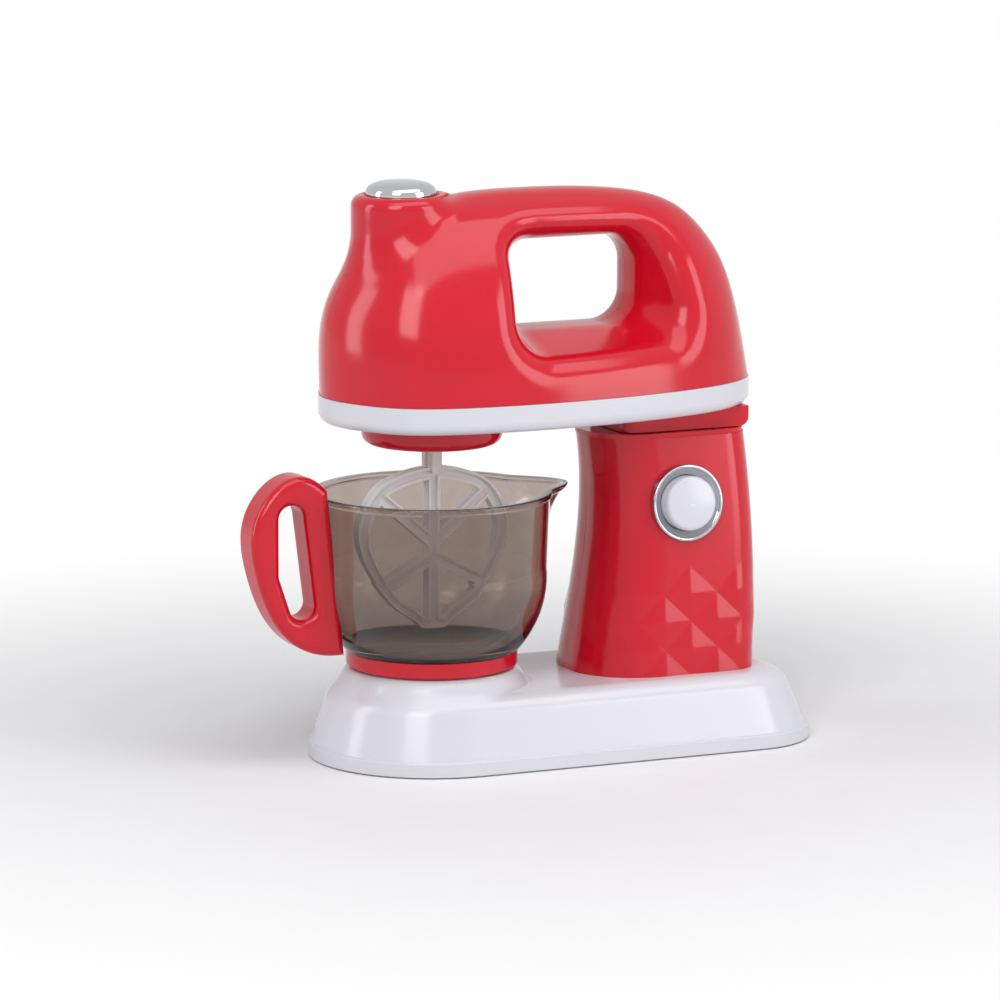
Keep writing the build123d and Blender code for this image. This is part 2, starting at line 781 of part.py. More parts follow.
def make_head_shells():
    """Two lofted half housings, each with its side of the handle opening and of the button's boss."""
    boss_top = head_top_z + top_boss_rise
    boss = upright(boss_x, 0, boss_top - top_boss_depth, boss_top, top_boss_radius)
    boss = half_only(fillet(boss.edges().sort_by(Axis.Z)[-1], top_boss_edge))
    room = half_only(upright(boss_x, 0, top_board_z, head_top_z - head_wall, top_boss_radius - head_wall))
    outer = head_half(0)
    shape = outer + boss
    half = shape - opening_tool(0) - (head_half(head_wall) - opening_tool(head_wall)) - room
    ledge_z = top_board_z - head_wall
    ledge = upright(boss_x, 0, ledge_z, top_board_z, top_boss_radius - head_wall / 2)
    ledge -= upright(boss_x, 0, ledge_z - overrun, top_board_z + overrun, top_board_radius - ledge_width)
    half += half_only(ledge) & shape
    half -= half_only(upright(boss_x, 0, top_board_z, head_top_z + overrun, top_button_radius + joint_gap))
    for x, y in tray_screw_places()[::2]:
        screw_boss_top = screw_pad_z + tray_boss_height
        thin = tray_boss_rib / 2
        half += upright(x, y, screw_pad_z, head_z, boss_radius)
        half += upright(x, y, head_z, screw_boss_top, boss_radius) & outer
        half += block(x - thin, x + thin, -head_width / 2, y, head_z, screw_boss_top) & outer
        half -= upright(x, y, screw_pad_z - overrun, screw_pad_z + screw_length, screw_radius)
    right = mirror(half, about=Plane.XZ)
    right_shape = mirror(shape, about=Plane.XZ)
    left = half
    for shares in head_screw_shares:
        x, z = side_point(*shares)
        left += crossbar(x, z, -head_width, 0, boss_radius) & shape
        left -= crossbar(x, z, -head_screw_depth, overrun, screw_radius)
        right += crossbar(x, z, 0, head_width, boss_radius) & right_shape
        right -= crossbar(x, z, -overrun, head_width, screw_radius + screw_clearance)
        right -= crossbar(x, z, head_screw_depth, head_width, screw_head_radius + screw_clearance)
    return left, right


def make_side_screws(places, depth):
    """Screws entered from the right-hand side, their heads down in counterbores."""
    screws = []
    for x, z in places:
        screws.append(Pos(x, depth, z) * Rot(-90, 0, 0) * screw())
    return group(screws)


def collar_screw_places():
    """Three screws from the tray down into the collar."""
    places = []
    for step in range(3):
        angle = math.radians(120 * step)
        places.append((bowl_x + collar_screw_circle * math.cos(angle), collar_screw_circle * math.sin(angle)))
    return places


def gearbox_post_places():
    """Posts of the gear plate on the tray's floor."""
    places = []
    for length_share, width_share in gearbox_post_shares:
        places.append((head_front_x + length_share * head_length, width_share * head_width / 2))
    return places


def tray_plan(inset):
    """Whole plan of the tray, a little proud of the head and drawn in by an inset."""
    front = head_front_x + head_nose_shares[0] * head_length - tray_proud + inset
    rear = head_rear_x - head_tail_shares[0] * head_length + tray_proud - inset
    half = head_width / 2 + tray_proud - inset
    left = plan_edge(front, rear, half)
    return make_face([left, mirror(left, about=Plane.XZ)])


def make_head_tray():
    rounds = []
    for step in range(tray_edge_steps + 1):
        angle = math.pi / 2 * step / tray_edge_steps
        rise = tray_edge_radius * (1 - math.cos(angle))
        rounds.append(Pos(0, 0, tray_z + rise) * tray_plan(tray_edge_radius * (1 - math.sin(angle))))
    tray = loft(rounds) + extrude(rounds[-1], tray_height - tray_edge_radius)
    tray -= extrude(Pos(0, 0, tray_floor_z) * tray_plan(tray_wall + tray_proud), tray_height)
    tray -= upright(bowl_x, 0, tray_z - overrun, tray_floor_z + overrun, collar_hub_radius + slip_fit)
    duct_x = (neck_front_x + hinge_x) / 2
    tray -= upright(duct_x, 0, tray_z - overrun, tray_floor_z + overrun, wire_duct_radius)
    clear = screw_radius + screw_clearance
    for x, y in tray_screw_places() + gearbox_post_places():
        tray += upright(x, y, tray_floor_z, screw_pad_z, screw_pad_radius)
        tray -= upright(x, y, tray_z - overrun, tray_screw_seat, screw_head_radius + screw_clearance)
        tray -= upright(x, y, tray_z - overrun, screw_pad_z + overrun, clear)
    for x, y in neck_screw_places():
        tray += upright(x, y, tray_floor_z, screw_pad_z, screw_pad_radius)
    for x, y in neck_screw_places() + collar_screw_places():
        tray -= upright(x, y, tray_z - overrun, screw_pad_z + overrun, clear)
    tray += upright(idler_x, idler_y, tray_floor_z, gear_z - joint_gap, idler_hub_radius)
    return tray - upright(idler_x, idler_y, tray_z + tray_wall / 2, gear_z + overrun, idler_pin_radius)


def make_tray_screws(places):
    """Screws driven upwards through the tray, their heads down in counterbores."""
    return group(Pos(x, y, tray_screw_seat) * Rot(180, 0, 0) * screw() for x, y in places)


def make_floor_screws(places, seat_z):
    """Screws driven down through the tray's floor, their heads on a seat."""
    return group(Pos(x, y, seat_z) * screw() for x, y in places)


bush_radius = spindle_radius + pin_fit + bush_wall


def make_beater_collar():
    """Round-edged cup under the tray with a hub for the spindle's bush."""
    rim = collar_radius
    curve = collar_edge_radius * math.sqrt(0.5)
    centre_r = rim - collar_edge_radius
    centre_z = collar_z + collar_edge_radius
    inner = rim - collar_wall
    floor_z = collar_z + collar_wall
    bore = bush_radius
    hub = collar_hub_radius
    edges = [
        Line((bore, collar_z), (centre_r, collar_z)),
        ThreePointArc((centre_r, collar_z), (centre_r + curve, centre_z - curve), (rim, centre_z)),
        Polyline((rim, centre_z), (rim, tray_z), (inner, tray_z), (inner, floor_z), (hub, floor_z),
                 (hub, tray_floor_z), (bore, tray_floor_z), (bore, collar_z)),
    ]
    collar = Pos(bowl_x, 0, 0) * turned_edges(edges)
    for x, y in collar_screw_places():
        collar += upright(x, y, collar_z + collar_wall / 2, tray_z, boss_radius)
        collar -= upright(x, y, tray_floor_z - screw_length, tray_z + overrun, screw_radius)
    return collar


def make_spindle_bush():
    bore = spindle_radius + pin_fit
    wall = ((bore, collar_z), (bush_radius, collar_z), (bush_radius, tray_floor_z), (bore, tray_floor_z))
    return Pos(bowl_x, 0, 0) * turned(*wall)


spindle_low_z = collar_z + bush_flange
spindle_top_z = gearbox_plate_z + gearbox_plate_thickness - slip_fit


def make_spindle():
    """Stepped drive shaft with a square socket for the beater's tang."""
    flange_z = tray_floor_z + joint_gap
    gear_top_z = gear_z + gear_face
    shaft = turned(
        (0, spindle_low_z), (spindle_radius, spindle_low_z), (spindle_radius, flange_z),
        (spindle_flange_radius, flange_z), (spindle_flange_radius, gear_z), (spindle_radius, gear_z),
        (spindle_radius, gear_top_z), (spindle_top_radius, gear_top_z), (spindle_top_radius, spindle_top_z),
        (0, spindle_top_z),
    )
    half = spindle_socket / 2
    socket_top = spindle_low_z + beater_tang_length + joint_gap
    shaft -= block(-half, half, -half, half, spindle_low_z - overrun, socket_top)
    return Pos(bowl_x, 0, 0) * shaft


def gear_outline(teeth, phase):
    """Involute spur gear face; phase is the direction of one tooth's middle in degrees."""
    pitch_radius = gear_module * teeth / 2
    base_radius = pitch_radius * math.cos(math.radians(pressure_angle))
    root_radius = pitch_radius - gear_dedendum_share * gear_module
    tip_radius = pitch_radius + gear_addendum_share * gear_module
    half_thickness = (math.pi * gear_module - gear_backlash) / (4 * pitch_radius)
    involute_at_pitch = math.tan(math.radians(pressure_angle)) - math.radians(pressure_angle)
    flank = []
    for radius in (root_radius, max(base_radius, root_radius), pitch_radius, tip_radius):
        ratio = max(radius / base_radius, 1.0)
        roll = math.sqrt(ratio * ratio - 1)
        flank.append((radius, half_thickness + involute_at_pitch - (roll - math.atan(roll))))
    if base_radius <= root_radius:
        flank = flank[1:]
    points = []
    for tooth in range(teeth):
        middle = math.radians(phase) + 2 * math.pi * tooth / teeth
        for radius, spread in flank:
            points.append((radius * math.cos(middle - spread), radius * math.sin(middle - spread)))
        for radius, spread in reversed(flank):
            points.append((radius * math.cos(middle + spread), radius * math.sin(middle + spread)))
    return make_face(Polyline(*points, close=True))


def gap_phase(teeth, direction):
    """Phase that puts a gap between two teeth in the given direction."""
    return direction + 180 / teeth


def make_output_gear():
    face = gear_outline(wheel_teeth, gap_phase(wheel_teeth, idler_angle)) - Circle(spindle_radius)
    return Pos(bowl_x, 0, gear_z) * extrude(face, gear_face)


def make_reduction_gear():
    """Large wheel over a small pinion in one moulding, turning on its pin."""
    bore = Circle(idler_pin_radius + pin_fit)
    pinion = extrude(gear_outline(pinion_teeth, idler_angle + 180) - bore, gear_face)
    hub = extrude(Circle(idler_hub_radius) - bore, upper_gear_z - gear_z)
    wheel = extrude(gear_outline(wheel_teeth, gap_phase(wheel_teeth, motor_angle)) - bore, gear_face)
    gear = pinion + hub + Pos(0, 0, upper_gear_z - gear_z) * wheel
    return Pos(idler_x, idler_y, gear_z) * gear


def make_motor_pinion():
    face = gear_outline(pinion_teeth, motor_angle + 180) - Circle(motor_shaft_radius)
    return Pos(motor_x, motor_y, upper_gear_z) * extrude(face, gear_face)


def make_motor_shaft():
    return upright(motor_x, motor_y, upper_gear_z, motor_z + motor_shaft_depth - slip_fit, motor_shaft_radius)


def make_idler_pin():
    return upright(idler_x, idler_y, tray_z + tray_wall / 2, gearbox_plate_z + gearbox_plate_thickness,
                   idler_pin_radius)


def make_gearbox_plate():
    """Plate on three posts over the gears, with a collar that grips the motor."""
    rims = [Pos(x, y) * Circle(gearbox_plate_margin) for x, y in gearbox_post_places()]
    rims.append(Pos(idler_x, idler_y) * Circle(gearbox_plate_margin))
    rims.append(Pos(motor_x, motor_y) * Circle(motor_radius + motor_collar_wall))
    outline = make_hull([edge for rim in rims for edge in rim.edges()])
    plate = Pos(0, 0, gearbox_plate_z) * extrude(outline, gearbox_plate_thickness)
    for x, y in gearbox_post_places():
        plate += upright(x, y, screw_pad_z, gearbox_plate_z + slip_fit, gearbox_post_radius)
        plate -= upright(x, y, screw_pad_z - overrun, screw_pad_z + screw_length, screw_radius)
    grip_top = motor_z + motor_collar_height
    plate += upright(motor_x, motor_y, motor_z, grip_top, motor_radius + motor_collar_wall)
    plate -= Pos(motor_x, motor_y, motor_z) * motor_can(motor_collar_height + overrun, slip_fit)
    low = gearbox_plate_z - overrun
    high = motor_z + overrun
    plate -= upright(motor_x, motor_y, low, high, motor_boss_radius + slip_fit)
    plate -= upright(bowl_x, 0, low, high, spindle_top_radius + pin_fit)
    return plate - upright(idler_x, idler_y, low, high, idler_pin_radius)


def motor_can(length, grow):
    """Round can with two flats, standing on zero."""
    can = Cylinder(motor_radius + grow, length, align=bottom_up)
    half = motor_flat_width / 2 + grow
    reach = motor_radius + overrun
    return can & block(-half, half, -reach, reach, -overrun, length + overrun)


def make_motor():
    motor = motor_can(motor_length, 0)
    motor += Pos(0, 0, -motor_boss_height) * Cylinder(motor_boss_radius, motor_boss_height, align=bottom_up)
    bore = Cylinder(motor_shaft_radius + pin_fit, motor_shaft_depth + overrun, align=bottom_up)
    motor -= Pos(0, 0, -overrun) * bore
    for side in (-1, 1):
        terminal = Box(motor_terminal_thickness, motor_terminal_width, motor_terminal_length, align=bottom_up)
        motor += Pos(side * motor_terminal_spread / 2, 0, motor_length) * terminal
    return Pos(motor_x, motor_y, motor_z) * motor


def make_top_button():
    """Chrome cap with a flange that keeps it in the boss and a low dome on top."""
    rim_z = head_top_z + top_button_rim
    top_z = head_top_z + top_button_proud
    flange_top = top_flange_z + top_flange_thickness
    edges = [
        Polyline((0, top_z), (0, top_flange_z), (top_flange_radius, top_flange_z),
                 (top_flange_radius, flange_top), (top_button_radius, flange_top), (top_button_radius, rim_z)),
        dome_arc(top_button_radius, rim_z, top_z),
    ]
    return Pos(boss_x, 0, 0) * turned_edges(edges)


def make_top_switch():
    """Round board on the boss's ledge with a small switch under the cap."""
    board = upright(boss_x, 0, top_board_z, top_board_z + switch_board_thickness, top_board_radius)
    half = switch_size / 2
    low = top_board_z + switch_board_thickness
    return board + block(boss_x - half, boss_x + half, -half, half, low, low + switch_height)


def make_top_button_spring():
    low = top_board_z + switch_board_thickness + spring_wire_radius
    high = top_flange_z - spring_wire_radius
    return Pos(boss_x, 0, 0) * helix_spring(top_spring_radius, low, high, top_spring_turns)


def make_button_bezel():
    """Chrome ring with a rolled rim, a dished face down to the button and a sleeve through the wall."""
    bore = power_button_radius + joint_gap
    inner = bezel_radius - bezel_rim
    crown = bezel_radius - bezel_rim / 2
    shoulder = bezel_height - bezel_rim / 2
    edges = [
        Polyline((inner, shoulder), (bore, bezel_dish), (bore, -bezel_sleeve_depth),
                 (bezel_sleeve_radius, -bezel_sleeve_depth), (bezel_sleeve_radius, 0), (bezel_radius, 0),
                 (bezel_radius, shoulder)),
        ThreePointArc((bezel_radius, shoulder), (crown, bezel_height), (inner, shoulder)),
    ]
    return button_plane * turned_edges(edges)


power_flange_n = -bezel_sleeve_depth - joint_gap
power_back_n = power_flange_n - power_flange_thickness


def make_power_button():
    """White push button: domed cap, retaining flange and a short stem over the switch."""
    shoulder = power_button_radius - power_button_edge
    edge_n = power_button_proud - power_button_dome
    curve = power_button_edge * math.sqrt(0.5)
    side_n = edge_n - power_button_edge
    stem_n = power_back_n - power_stem_length
    edges = [
        Polyline((0, power_button_proud), (0, stem_n), (power_stem_radius, stem_n),
                 (power_stem_radius, power_back_n), (power_flange_radius, power_back_n),
                 (power_flange_radius, power_flange_n), (power_button_radius, power_flange_n),
                 (power_button_radius, side_n)),
        ThreePointArc((power_button_radius, side_n), (shoulder + curve, side_n + curve), (shoulder, edge_n)),
        dome_arc(shoulder, edge_n, power_button_proud),
    ]
    return button_plane * turned_edges(edges)


def make_power_button_spring():
    low = -switch_depth + spring_wire_radius
    high = power_back_n - spring_wire_radius
    return button_plane * helix_spring(power_spring_radius, low, high, power_spring_turns)


def make_power_switch():
    """Board across two posts inside the column with a small switch behind the button."""
    board = Pos(0, 0, -switch_depth - switch_board_thickness) * Box(
        switch_board_length, switch_board_width, switch_board_thickness, align=bottom_up
    )
    body = Pos(0, 0, -switch_depth) * Box(switch_size, switch_size, switch_height, align=bottom_up)
    return button_plane * (board + body)


def bowl_profile(inset):
    """Outer side of the bowl in (radius, height above its floor), drawn in by an inset."""
    return [
        (bowl_floor_radius - inset, 0),
        (bowl_belly_radius - inset, bowl_belly_height),
        (bowl_shoulder_radius - inset, bowl_shoulder_height),
        (bowl_rim_radius - inset, bowl_height),
    ]


def bowl_body(inset, floor, over):
    """Solid of the bowl's shape above a floor height, carried past the rim by an overrun."""
    start, belly, shoulder, rim = bowl_profile(inset)
    top = bowl_height + over
    edges = [
        Line((0, floor), (start[0], floor)),
        ThreePointArc((start[0], floor), belly, shoulder),
        Polyline(shoulder, rim, (rim[0], top), (0, top), (0, floor)) if over else Polyline(
            shoulder, rim, (0, top), (0, floor)
        ),
    ]
    return Pos(bowl_x, 0, bowl_z) * turned_edges(edges)


def spout_body(inset, over):
    """Beak of the pouring lip, from a point on the wall up to its tip at the rim."""
    half = math.radians(spout_angle)
    radius = bowl_rim_radius - bowl_wall
    side = radius * math.sin(half) - inset
    tip = bowl_rim_radius + spout_reach - inset
    back = radius * math.cos(half) - inset
    top_z = rim_z + over
    low_z = rim_z - spout_drop
    top_face = Pos(bowl_x, 0, top_z) * make_face(Polyline((back, -side), (tip, 0), (back, side), close=True))
    root = bowl_rim_radius - inset
    low_half = side * spout_root_share
    low_points = Polyline((back, -low_half), (root - spout_root, 0), (back, low_half), close=True)
    return loft([Pos(bowl_x, 0, low_z) * make_face(low_points), top_face], ruled=True)


def bowl_pegs(grow, deep):
    """Two pegs on the bowl's wall that carry the handle."""
    pegs = []
    for share in bowl_peg_shares:
        z = bowl_z + share * bowl_height
        outer_x = bowl_x - bowl_rim_radius - bowl_peg_length - deep
        inner_x = bowl_x - bowl_belly_radius
        peg = Cylinder(bowl_peg_radius + grow, inner_x - outer_x, align=bottom_up)
        pegs.append(Pos(outer_x, 0, z) * Rot(0, 90, 0) * peg)
    return pegs


def make_bowl():
    """Clear jug: curved wall, beaded rim, pouring lip and two pegs for the handle."""
    bead_low = rim_z - bowl_bead_height
    lip = bowl_rim_radius + bowl_bead
    bead = turned((bowl_belly_radius, bead_low), (bowl_rim_radius, bead_low), (lip, bead_low + bowl_bead),
                  (lip, rim_z), (bowl_belly_radius, rim_z))
    bowl = bowl_body(0, 0, 0) + Pos(bowl_x, 0, 0) * bead + spout_body(0, 0)
    for peg in bowl_pegs(0, 0):
        bowl += peg
    return bowl - bowl_body(bowl_wall, bowl_wall, overrun) - spout_body(bowl_wall, overrun)


def make_bowl_foot():
    """Red disc under the bowl with a spigot that drops into the seat's well."""
    spigot = seat_well_radius - joint_gap
    spigot_z = seat_well_z + joint_gap
    hollow = spigot - base_wall
    shelf_z = foot_z + bowl_foot_height / 2
    foot = turned(
        (0, shelf_z), (hollow, shelf_z), (hollow, spigot_z), (spigot, spigot_z), (spigot, foot_z),
        (bowl_foot_low_radius, foot_z), (bowl_foot_top_radius, foot_z + bowl_foot_edge),
        (bowl_foot_top_radius, bowl_z), (0, bowl_z),
    )
    return Pos(bowl_x, 0, 0) * foot


def make_bowl_handle():
    """Closed loop handle on the bowl's front, hollowed where fingers go through."""
    height = bowl_height + handle_rise
    points = []
    for reach_share, height_share in zip(handle_reach_shares, handle_height_shares):
        points.append((bowl_x - bowl_rim_radius - reach_share * handle_reach, bowl_z + height_share * height))
    loop = make_face([Spline(*points), Line(points[-1], points[0])])
    gaps = []
    for reach_share, height_share in zip(finger_reach_shares, finger_height_shares):
        x = bowl_x - bowl_rim_radius - reach_share * handle_reach
        gaps.append(Pos(x, bowl_z + height_share * height) * Circle(finger_gap_radius))
    gap = make_hull([edge for ring in gaps for edge in ring.edges()])
    handle = extrude(Plane.XZ * (loop - gap), handle_width / 2, both=True)
    handle = fillet(handle.faces().sort_by(Axis.Y)[0].edges(), handle_edge_radius)
    handle = fillet(handle.faces().sort_by(Axis.Y)[-1].edges(), handle_edge_radius)
    grown = bowl_bead + slip_fit
    handle -= bowl_body(-slip_fit, 0, overrun)
    handle -= Pos(bowl_x, 0, 0) * upright(0, 0, rim_z - bowl_bead_height - slip_fit, rim_z + overrun,
                                          bowl_rim_radius + grown)
    for peg in bowl_pegs(slip_fit, slip_fit):
        handle -= peg
    return handle


def arm(start, end, width):
    """Straight bar of a given width between two places."""
    run = math.dist(start, end)
    angle = math.degrees(math.atan2(end[1] - start[1], end[0] - start[0]))
    middle = Pos((start[0] + end[0]) / 2, (start[1] + end[1]) / 2)
    return middle * Rot(0, 0, angle) * Rectangle(run, width)


def beater_outline(inset):
    """Egg-shaped outline of the paddle, drawn in by an inset."""
    half = beater_width / 2 - inset
    height = beater_height - 2 * inset
    right = []
    for width_share, height_share in zip(beater_width_shares, beater_height_shares):
        right.append((width_share * half, inset + height_share * height))
    edge = Spline(*right, tangents=[(1, 0), (-1, 0)])
    return make_face([edge, mirror(edge, about=Plane.YZ)])


def beater_face(shrink):
    """Open frame of the paddle: rim, spine, two arms up and two arms down."""
    width = beater_band - 2 * shrink
    half = beater_width / 2
    frame = beater_outline(shrink) - beater_outline(beater_band - shrink)
    spine = Pos(0, beater_height / 2) * Rectangle(width, beater_height - beater_band)
    upper_reach, upper_end, upper_root = beater_upper_arm_shares
    lower_reach, lower_end, lower_root = beater_lower_arm_shares
    bars = [spine]
    for side in (-1, 1):
        upper = (side * upper_reach * half - side * beater_band / 2, upper_end * beater_height)
        bars.append(arm((0, upper_root * beater_height), upper, width))
        lower = (side * lower_reach * half - side * beater_band / 2, lower_end * beater_height)
        bars.append(arm((0, lower_root * beater_height), lower, width))
    for bar in bars:
        frame += bar
    return frame & beater_outline(shrink)


def make_beater():
    """Flat paddle with raised borders, a ribbed stem and a square tang."""
    paddle = extrude(Plane.XZ * beater_face(0), beater_thickness / 2, both=True)
    web = extrude(Plane.XZ * beater_face(beater_rib), beater_web_recess)
    for side in (-1, 1):
        place = beater_thickness / 2 if side < 0 else beater_web_recess - beater_thickness / 2
        paddle -= Pos(0, place, 0) * web
    half_rib = beater_stem_rib / 2
    half_stem = beater_stem_width / 2
    low = beater_height - beater_band
    stem_top = spindle_low_z - joint_gap - beater_z
    stem = block(-half_stem, half_stem, -half_rib, half_rib, low, stem_top)
    stem += block(-half_rib, half_rib, -half_stem, half_stem, beater_height - beater_band / 2, stem_top)
    half_tang = spindle_socket / 2 - slip_fit
    tang_top = spindle_low_z + beater_tang_length - beater_z
    stem += block(-half_tang, half_tang, -half_tang, half_tang, beater_height, tang_top)
    return Pos(bowl_x, 0, beater_z) * (paddle + stem)


def make_column_foot_screws():
    roof_z = base_height - base_wall
    return group(Pos(x, y, roof_z) * Rot(180, 0, 0) * screw() for x, y in column_foot_places())


column_left, column_right = make_column_shells()
head_left, head_right = make_head_shells()
pieces = {
    "base_shell": make_base_shell(),
    "base_plate": make_base_plate(),
    "battery_door": make_battery_door(),
    "battery_door_screw": from_below(door_screw_x, 0),
    "battery_cells": make_battery_cells(),
    "battery_contacts": make_battery_contacts(),
    "base_screws": make_base_screws(),
    "column_shell_left": column_left,
    "column_shell_right": column_right,
    "column_screws": make_side_screws(map(column_point, column_screw_shares), column_screw_depth),
    "column_foot_screws": make_column_foot_screws(),
    "column_cap": make_column_cap(),
    "hinge_pin": make_hinge_pin(),
    "button_bezel": make_button_bezel(),
    "power_button": make_power_button(),
    "power_button_spring": make_power_button_spring(),
    "power_switch": make_power_switch(),
    "head_shell_left": head_left,
    "head_shell_right": head_right,
    "head_screws": make_side_screws([side_point(*shares) for shares in head_screw_shares], head_screw_depth),
    "head_tray": make_head_tray(),
    "tray_screws": make_tray_screws(tray_screw_places()),
    "head_neck": make_head_neck(),
    "neck_screws": make_floor_screws(neck_screw_places(), screw_pad_z),
    "beater_collar": make_beater_collar(),
    "collar_screws": make_floor_screws(collar_screw_places(), tray_floor_z),
    "spindle_bush": make_spindle_bush(),
    "gearbox_plate": make_gearbox_plate(),
    "gearbox_screws": make_tray_screws(gearbox_post_places()),
    "motor": make_motor(),
    "motor_shaft": make_motor_shaft(),
    "motor_pinion": make_motor_pinion(),
    "reduction_gear": make_reduction_gear(),
    "idler_pin": make_idler_pin(),
    "output_gear": make_output_gear(),
    "spindle": make_spindle(),
    "beater": make_beater(),
    "top_button": make_top_button(),
    "top_button_spring": make_top_button_spring(),
    "top_switch": make_top_switch(),
    "bowl": make_bowl(),
    "bowl_foot": make_bowl_foot(),
    "bowl_handle": make_bowl_handle(),
}

os.makedirs("parts", exist_ok=True)
for name, piece in pieces.items():
    export_step(piece, f"parts/{name}.step")
print("joint axes", "hinge", (hinge_x, 0, hinge_z), "idler", (idler_x, idler_y), "motor", (motor_x, motor_y))
print("button origin", button_plane.origin, "inward", tuple(-part for part in column_normal))
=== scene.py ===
import bmesh
import bpy
import numpy as np
from mathutils import Matrix, Vector


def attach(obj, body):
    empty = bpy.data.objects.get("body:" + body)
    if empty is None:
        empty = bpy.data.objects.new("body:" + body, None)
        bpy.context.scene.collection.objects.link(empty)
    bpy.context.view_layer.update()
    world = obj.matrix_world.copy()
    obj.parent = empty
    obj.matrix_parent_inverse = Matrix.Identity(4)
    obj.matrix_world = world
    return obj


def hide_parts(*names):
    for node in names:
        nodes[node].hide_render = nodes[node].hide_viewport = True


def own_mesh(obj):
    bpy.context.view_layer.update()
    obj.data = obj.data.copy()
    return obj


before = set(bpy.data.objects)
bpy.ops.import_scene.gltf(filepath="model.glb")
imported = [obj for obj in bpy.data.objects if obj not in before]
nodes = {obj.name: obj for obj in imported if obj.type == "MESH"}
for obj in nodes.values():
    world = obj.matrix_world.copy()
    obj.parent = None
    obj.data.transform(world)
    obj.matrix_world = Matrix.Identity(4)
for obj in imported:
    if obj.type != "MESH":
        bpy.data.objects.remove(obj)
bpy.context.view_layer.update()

# Base casing: one white moulding with a flared skirt on a low lip and a raised round seat for the bowl.
# It is drawn as a profile carried round the plan, and its lip returns inside to take the bottom plate.
mm = 0.001


def skin(name, points, around=False):
    """Mesh over a (rows, columns) grid of points in millimetres: one quad between each four neighbours.
    Where the grid runs right round the piece, its last column is joined to its first."""
    rows, columns = points.shape[:2]
    index = np.arange(rows * columns).reshape(rows, columns)
    if around:
        index = np.concatenate([index, index[:, :1]], axis=1)
    quads = np.stack([index[:-1, :-1], index[:-1, 1:], index[1:, 1:], index[1:, :-1]], axis=-1)
    return mesh_piece(name, points.reshape(-1, 3), quads.reshape(-1, 4))


def mesh_piece(name, points, faces):
    """Object at the origin from points in millimetres: doubles at poles merged, faces turned outwards,
    smooth."""
    mesh = bpy.data.meshes.new(name)
    mesh.from_pydata((points * mm).tolist(), [], faces.tolist())
    form = bmesh.new()
    form.from_mesh(mesh)
    bmesh.ops.remove_doubles(form, verts=form.verts, dist=1e-7)
    bmesh.ops.recalc_face_normals(form, faces=form.faces)
    form.to_mesh(mesh)
    form.free()
    mesh.polygons.foreach_set("use_smooth", np.ones(len(mesh.polygons), dtype=bool))
    piece = bpy.data.objects.new(name, mesh)
    bpy.context.scene.collection.objects.link(piece)
    return piece


def soft_outline(corners, radii, steps=6):
    """Open outline through the corners, each turned by an arc of its radius: the arc starts and ends at
    the tangent length, radius times the tangent of half the turn, before and after the corner."""
    corners = np.asarray(corners, float)
    line = [corners[:1]]
    for before, corner, after, radius in zip(corners, corners[1:], corners[2:], radii):
        back = (before - corner) / np.linalg.norm(before - corner)
        ahead = (after - corner) / np.linalg.norm(after - corner)
        half = 0.5 * np.arccos(np.clip(back @ ahead, -1.0, 1.0))
        middle = (back + ahead) / np.linalg.norm(back + ahead)
        centre = corner + middle * radius / np.sin(half)
        spread = (np.pi / 2 - half) * np.linspace(-1.0, 1.0, steps)[:, None]
        across = (ahead - back) / np.linalg.norm(ahead - back)
        line.append(centre + radius * (np.sin(spread) * across - np.cos(spread) * middle))
    line.append(corners[-1:])
    return np.concatenate(line)


def soft_max(first, second, reach):
    """Larger of two fields, joined by a parabola where they come within the reach of each other."""
    near = np.maximum(reach - np.abs(first - second), 0.0)
    return np.maximum(first, second) + near * near / (4.0 * reach)


base_length, base_width, base_height = 180.0, 86.0, 26.0
base_tail_radius, base_tail_lean_share = 28.0, 0.5
base_wall, base_return, base_clear = 2.2, 6.0, 0.4
lip_height, lip_step = 5.5, 1.0
skirt_inset, top_inset, skirt_round = 7.0, 15.0, 8.0
bowl_x = (base_width - base_length) / 2
seat_top, seat_root, seat_foot_radius, seat_top_radius = 31.7, 2.0, 34.6, 30.2
seat_well_radius, seat_well_edge, seat_well_floor = 26.0, 25.0, 29.0
seat_rim_round, seat_foot_round, seat_begin = 2.4, 2.6, 15.0


def base_plan(columns):
    """Base plan at even steps of its length, as points and outward normals: a half circle round the
    bowl end, two straight sides, two corner arcs and the straight tail. A point is a centre plus radius
    times normal."""
    half = base_width / 2
    corner_x = base_length / 2 - base_tail_radius
    corner_y = half - base_tail_radius
    arc = base_tail_radius * np.pi / 2
    side = corner_x - bowl_x
    runs = np.cumsum([0.0, np.pi * half, side, 0.0, arc, 2 * corner_y, arc, 0.0, side])
    step = np.linspace(0.0, runs[-1], columns, endpoint=False)
    turn = np.interp(step, runs, np.radians([90, 270, 270, 270, 360, 360, 450, 450, 450]))
    centre_x = np.interp(step, runs, [bowl_x, bowl_x] + [corner_x] * 6 + [bowl_x])
    centre_y = np.interp(step, runs, [0, 0, 0, -corner_y, -corner_y, corner_y, corner_y, 0, 0])
    radius = np.interp(step, runs, [half] * 3 + [base_tail_radius] * 4 + [half] * 2)
    normal = np.stack([np.cos(turn), np.sin(turn)], axis=-1)
    return np.stack([centre_x, centre_y], axis=-1) + radius[:, None] * normal, normal


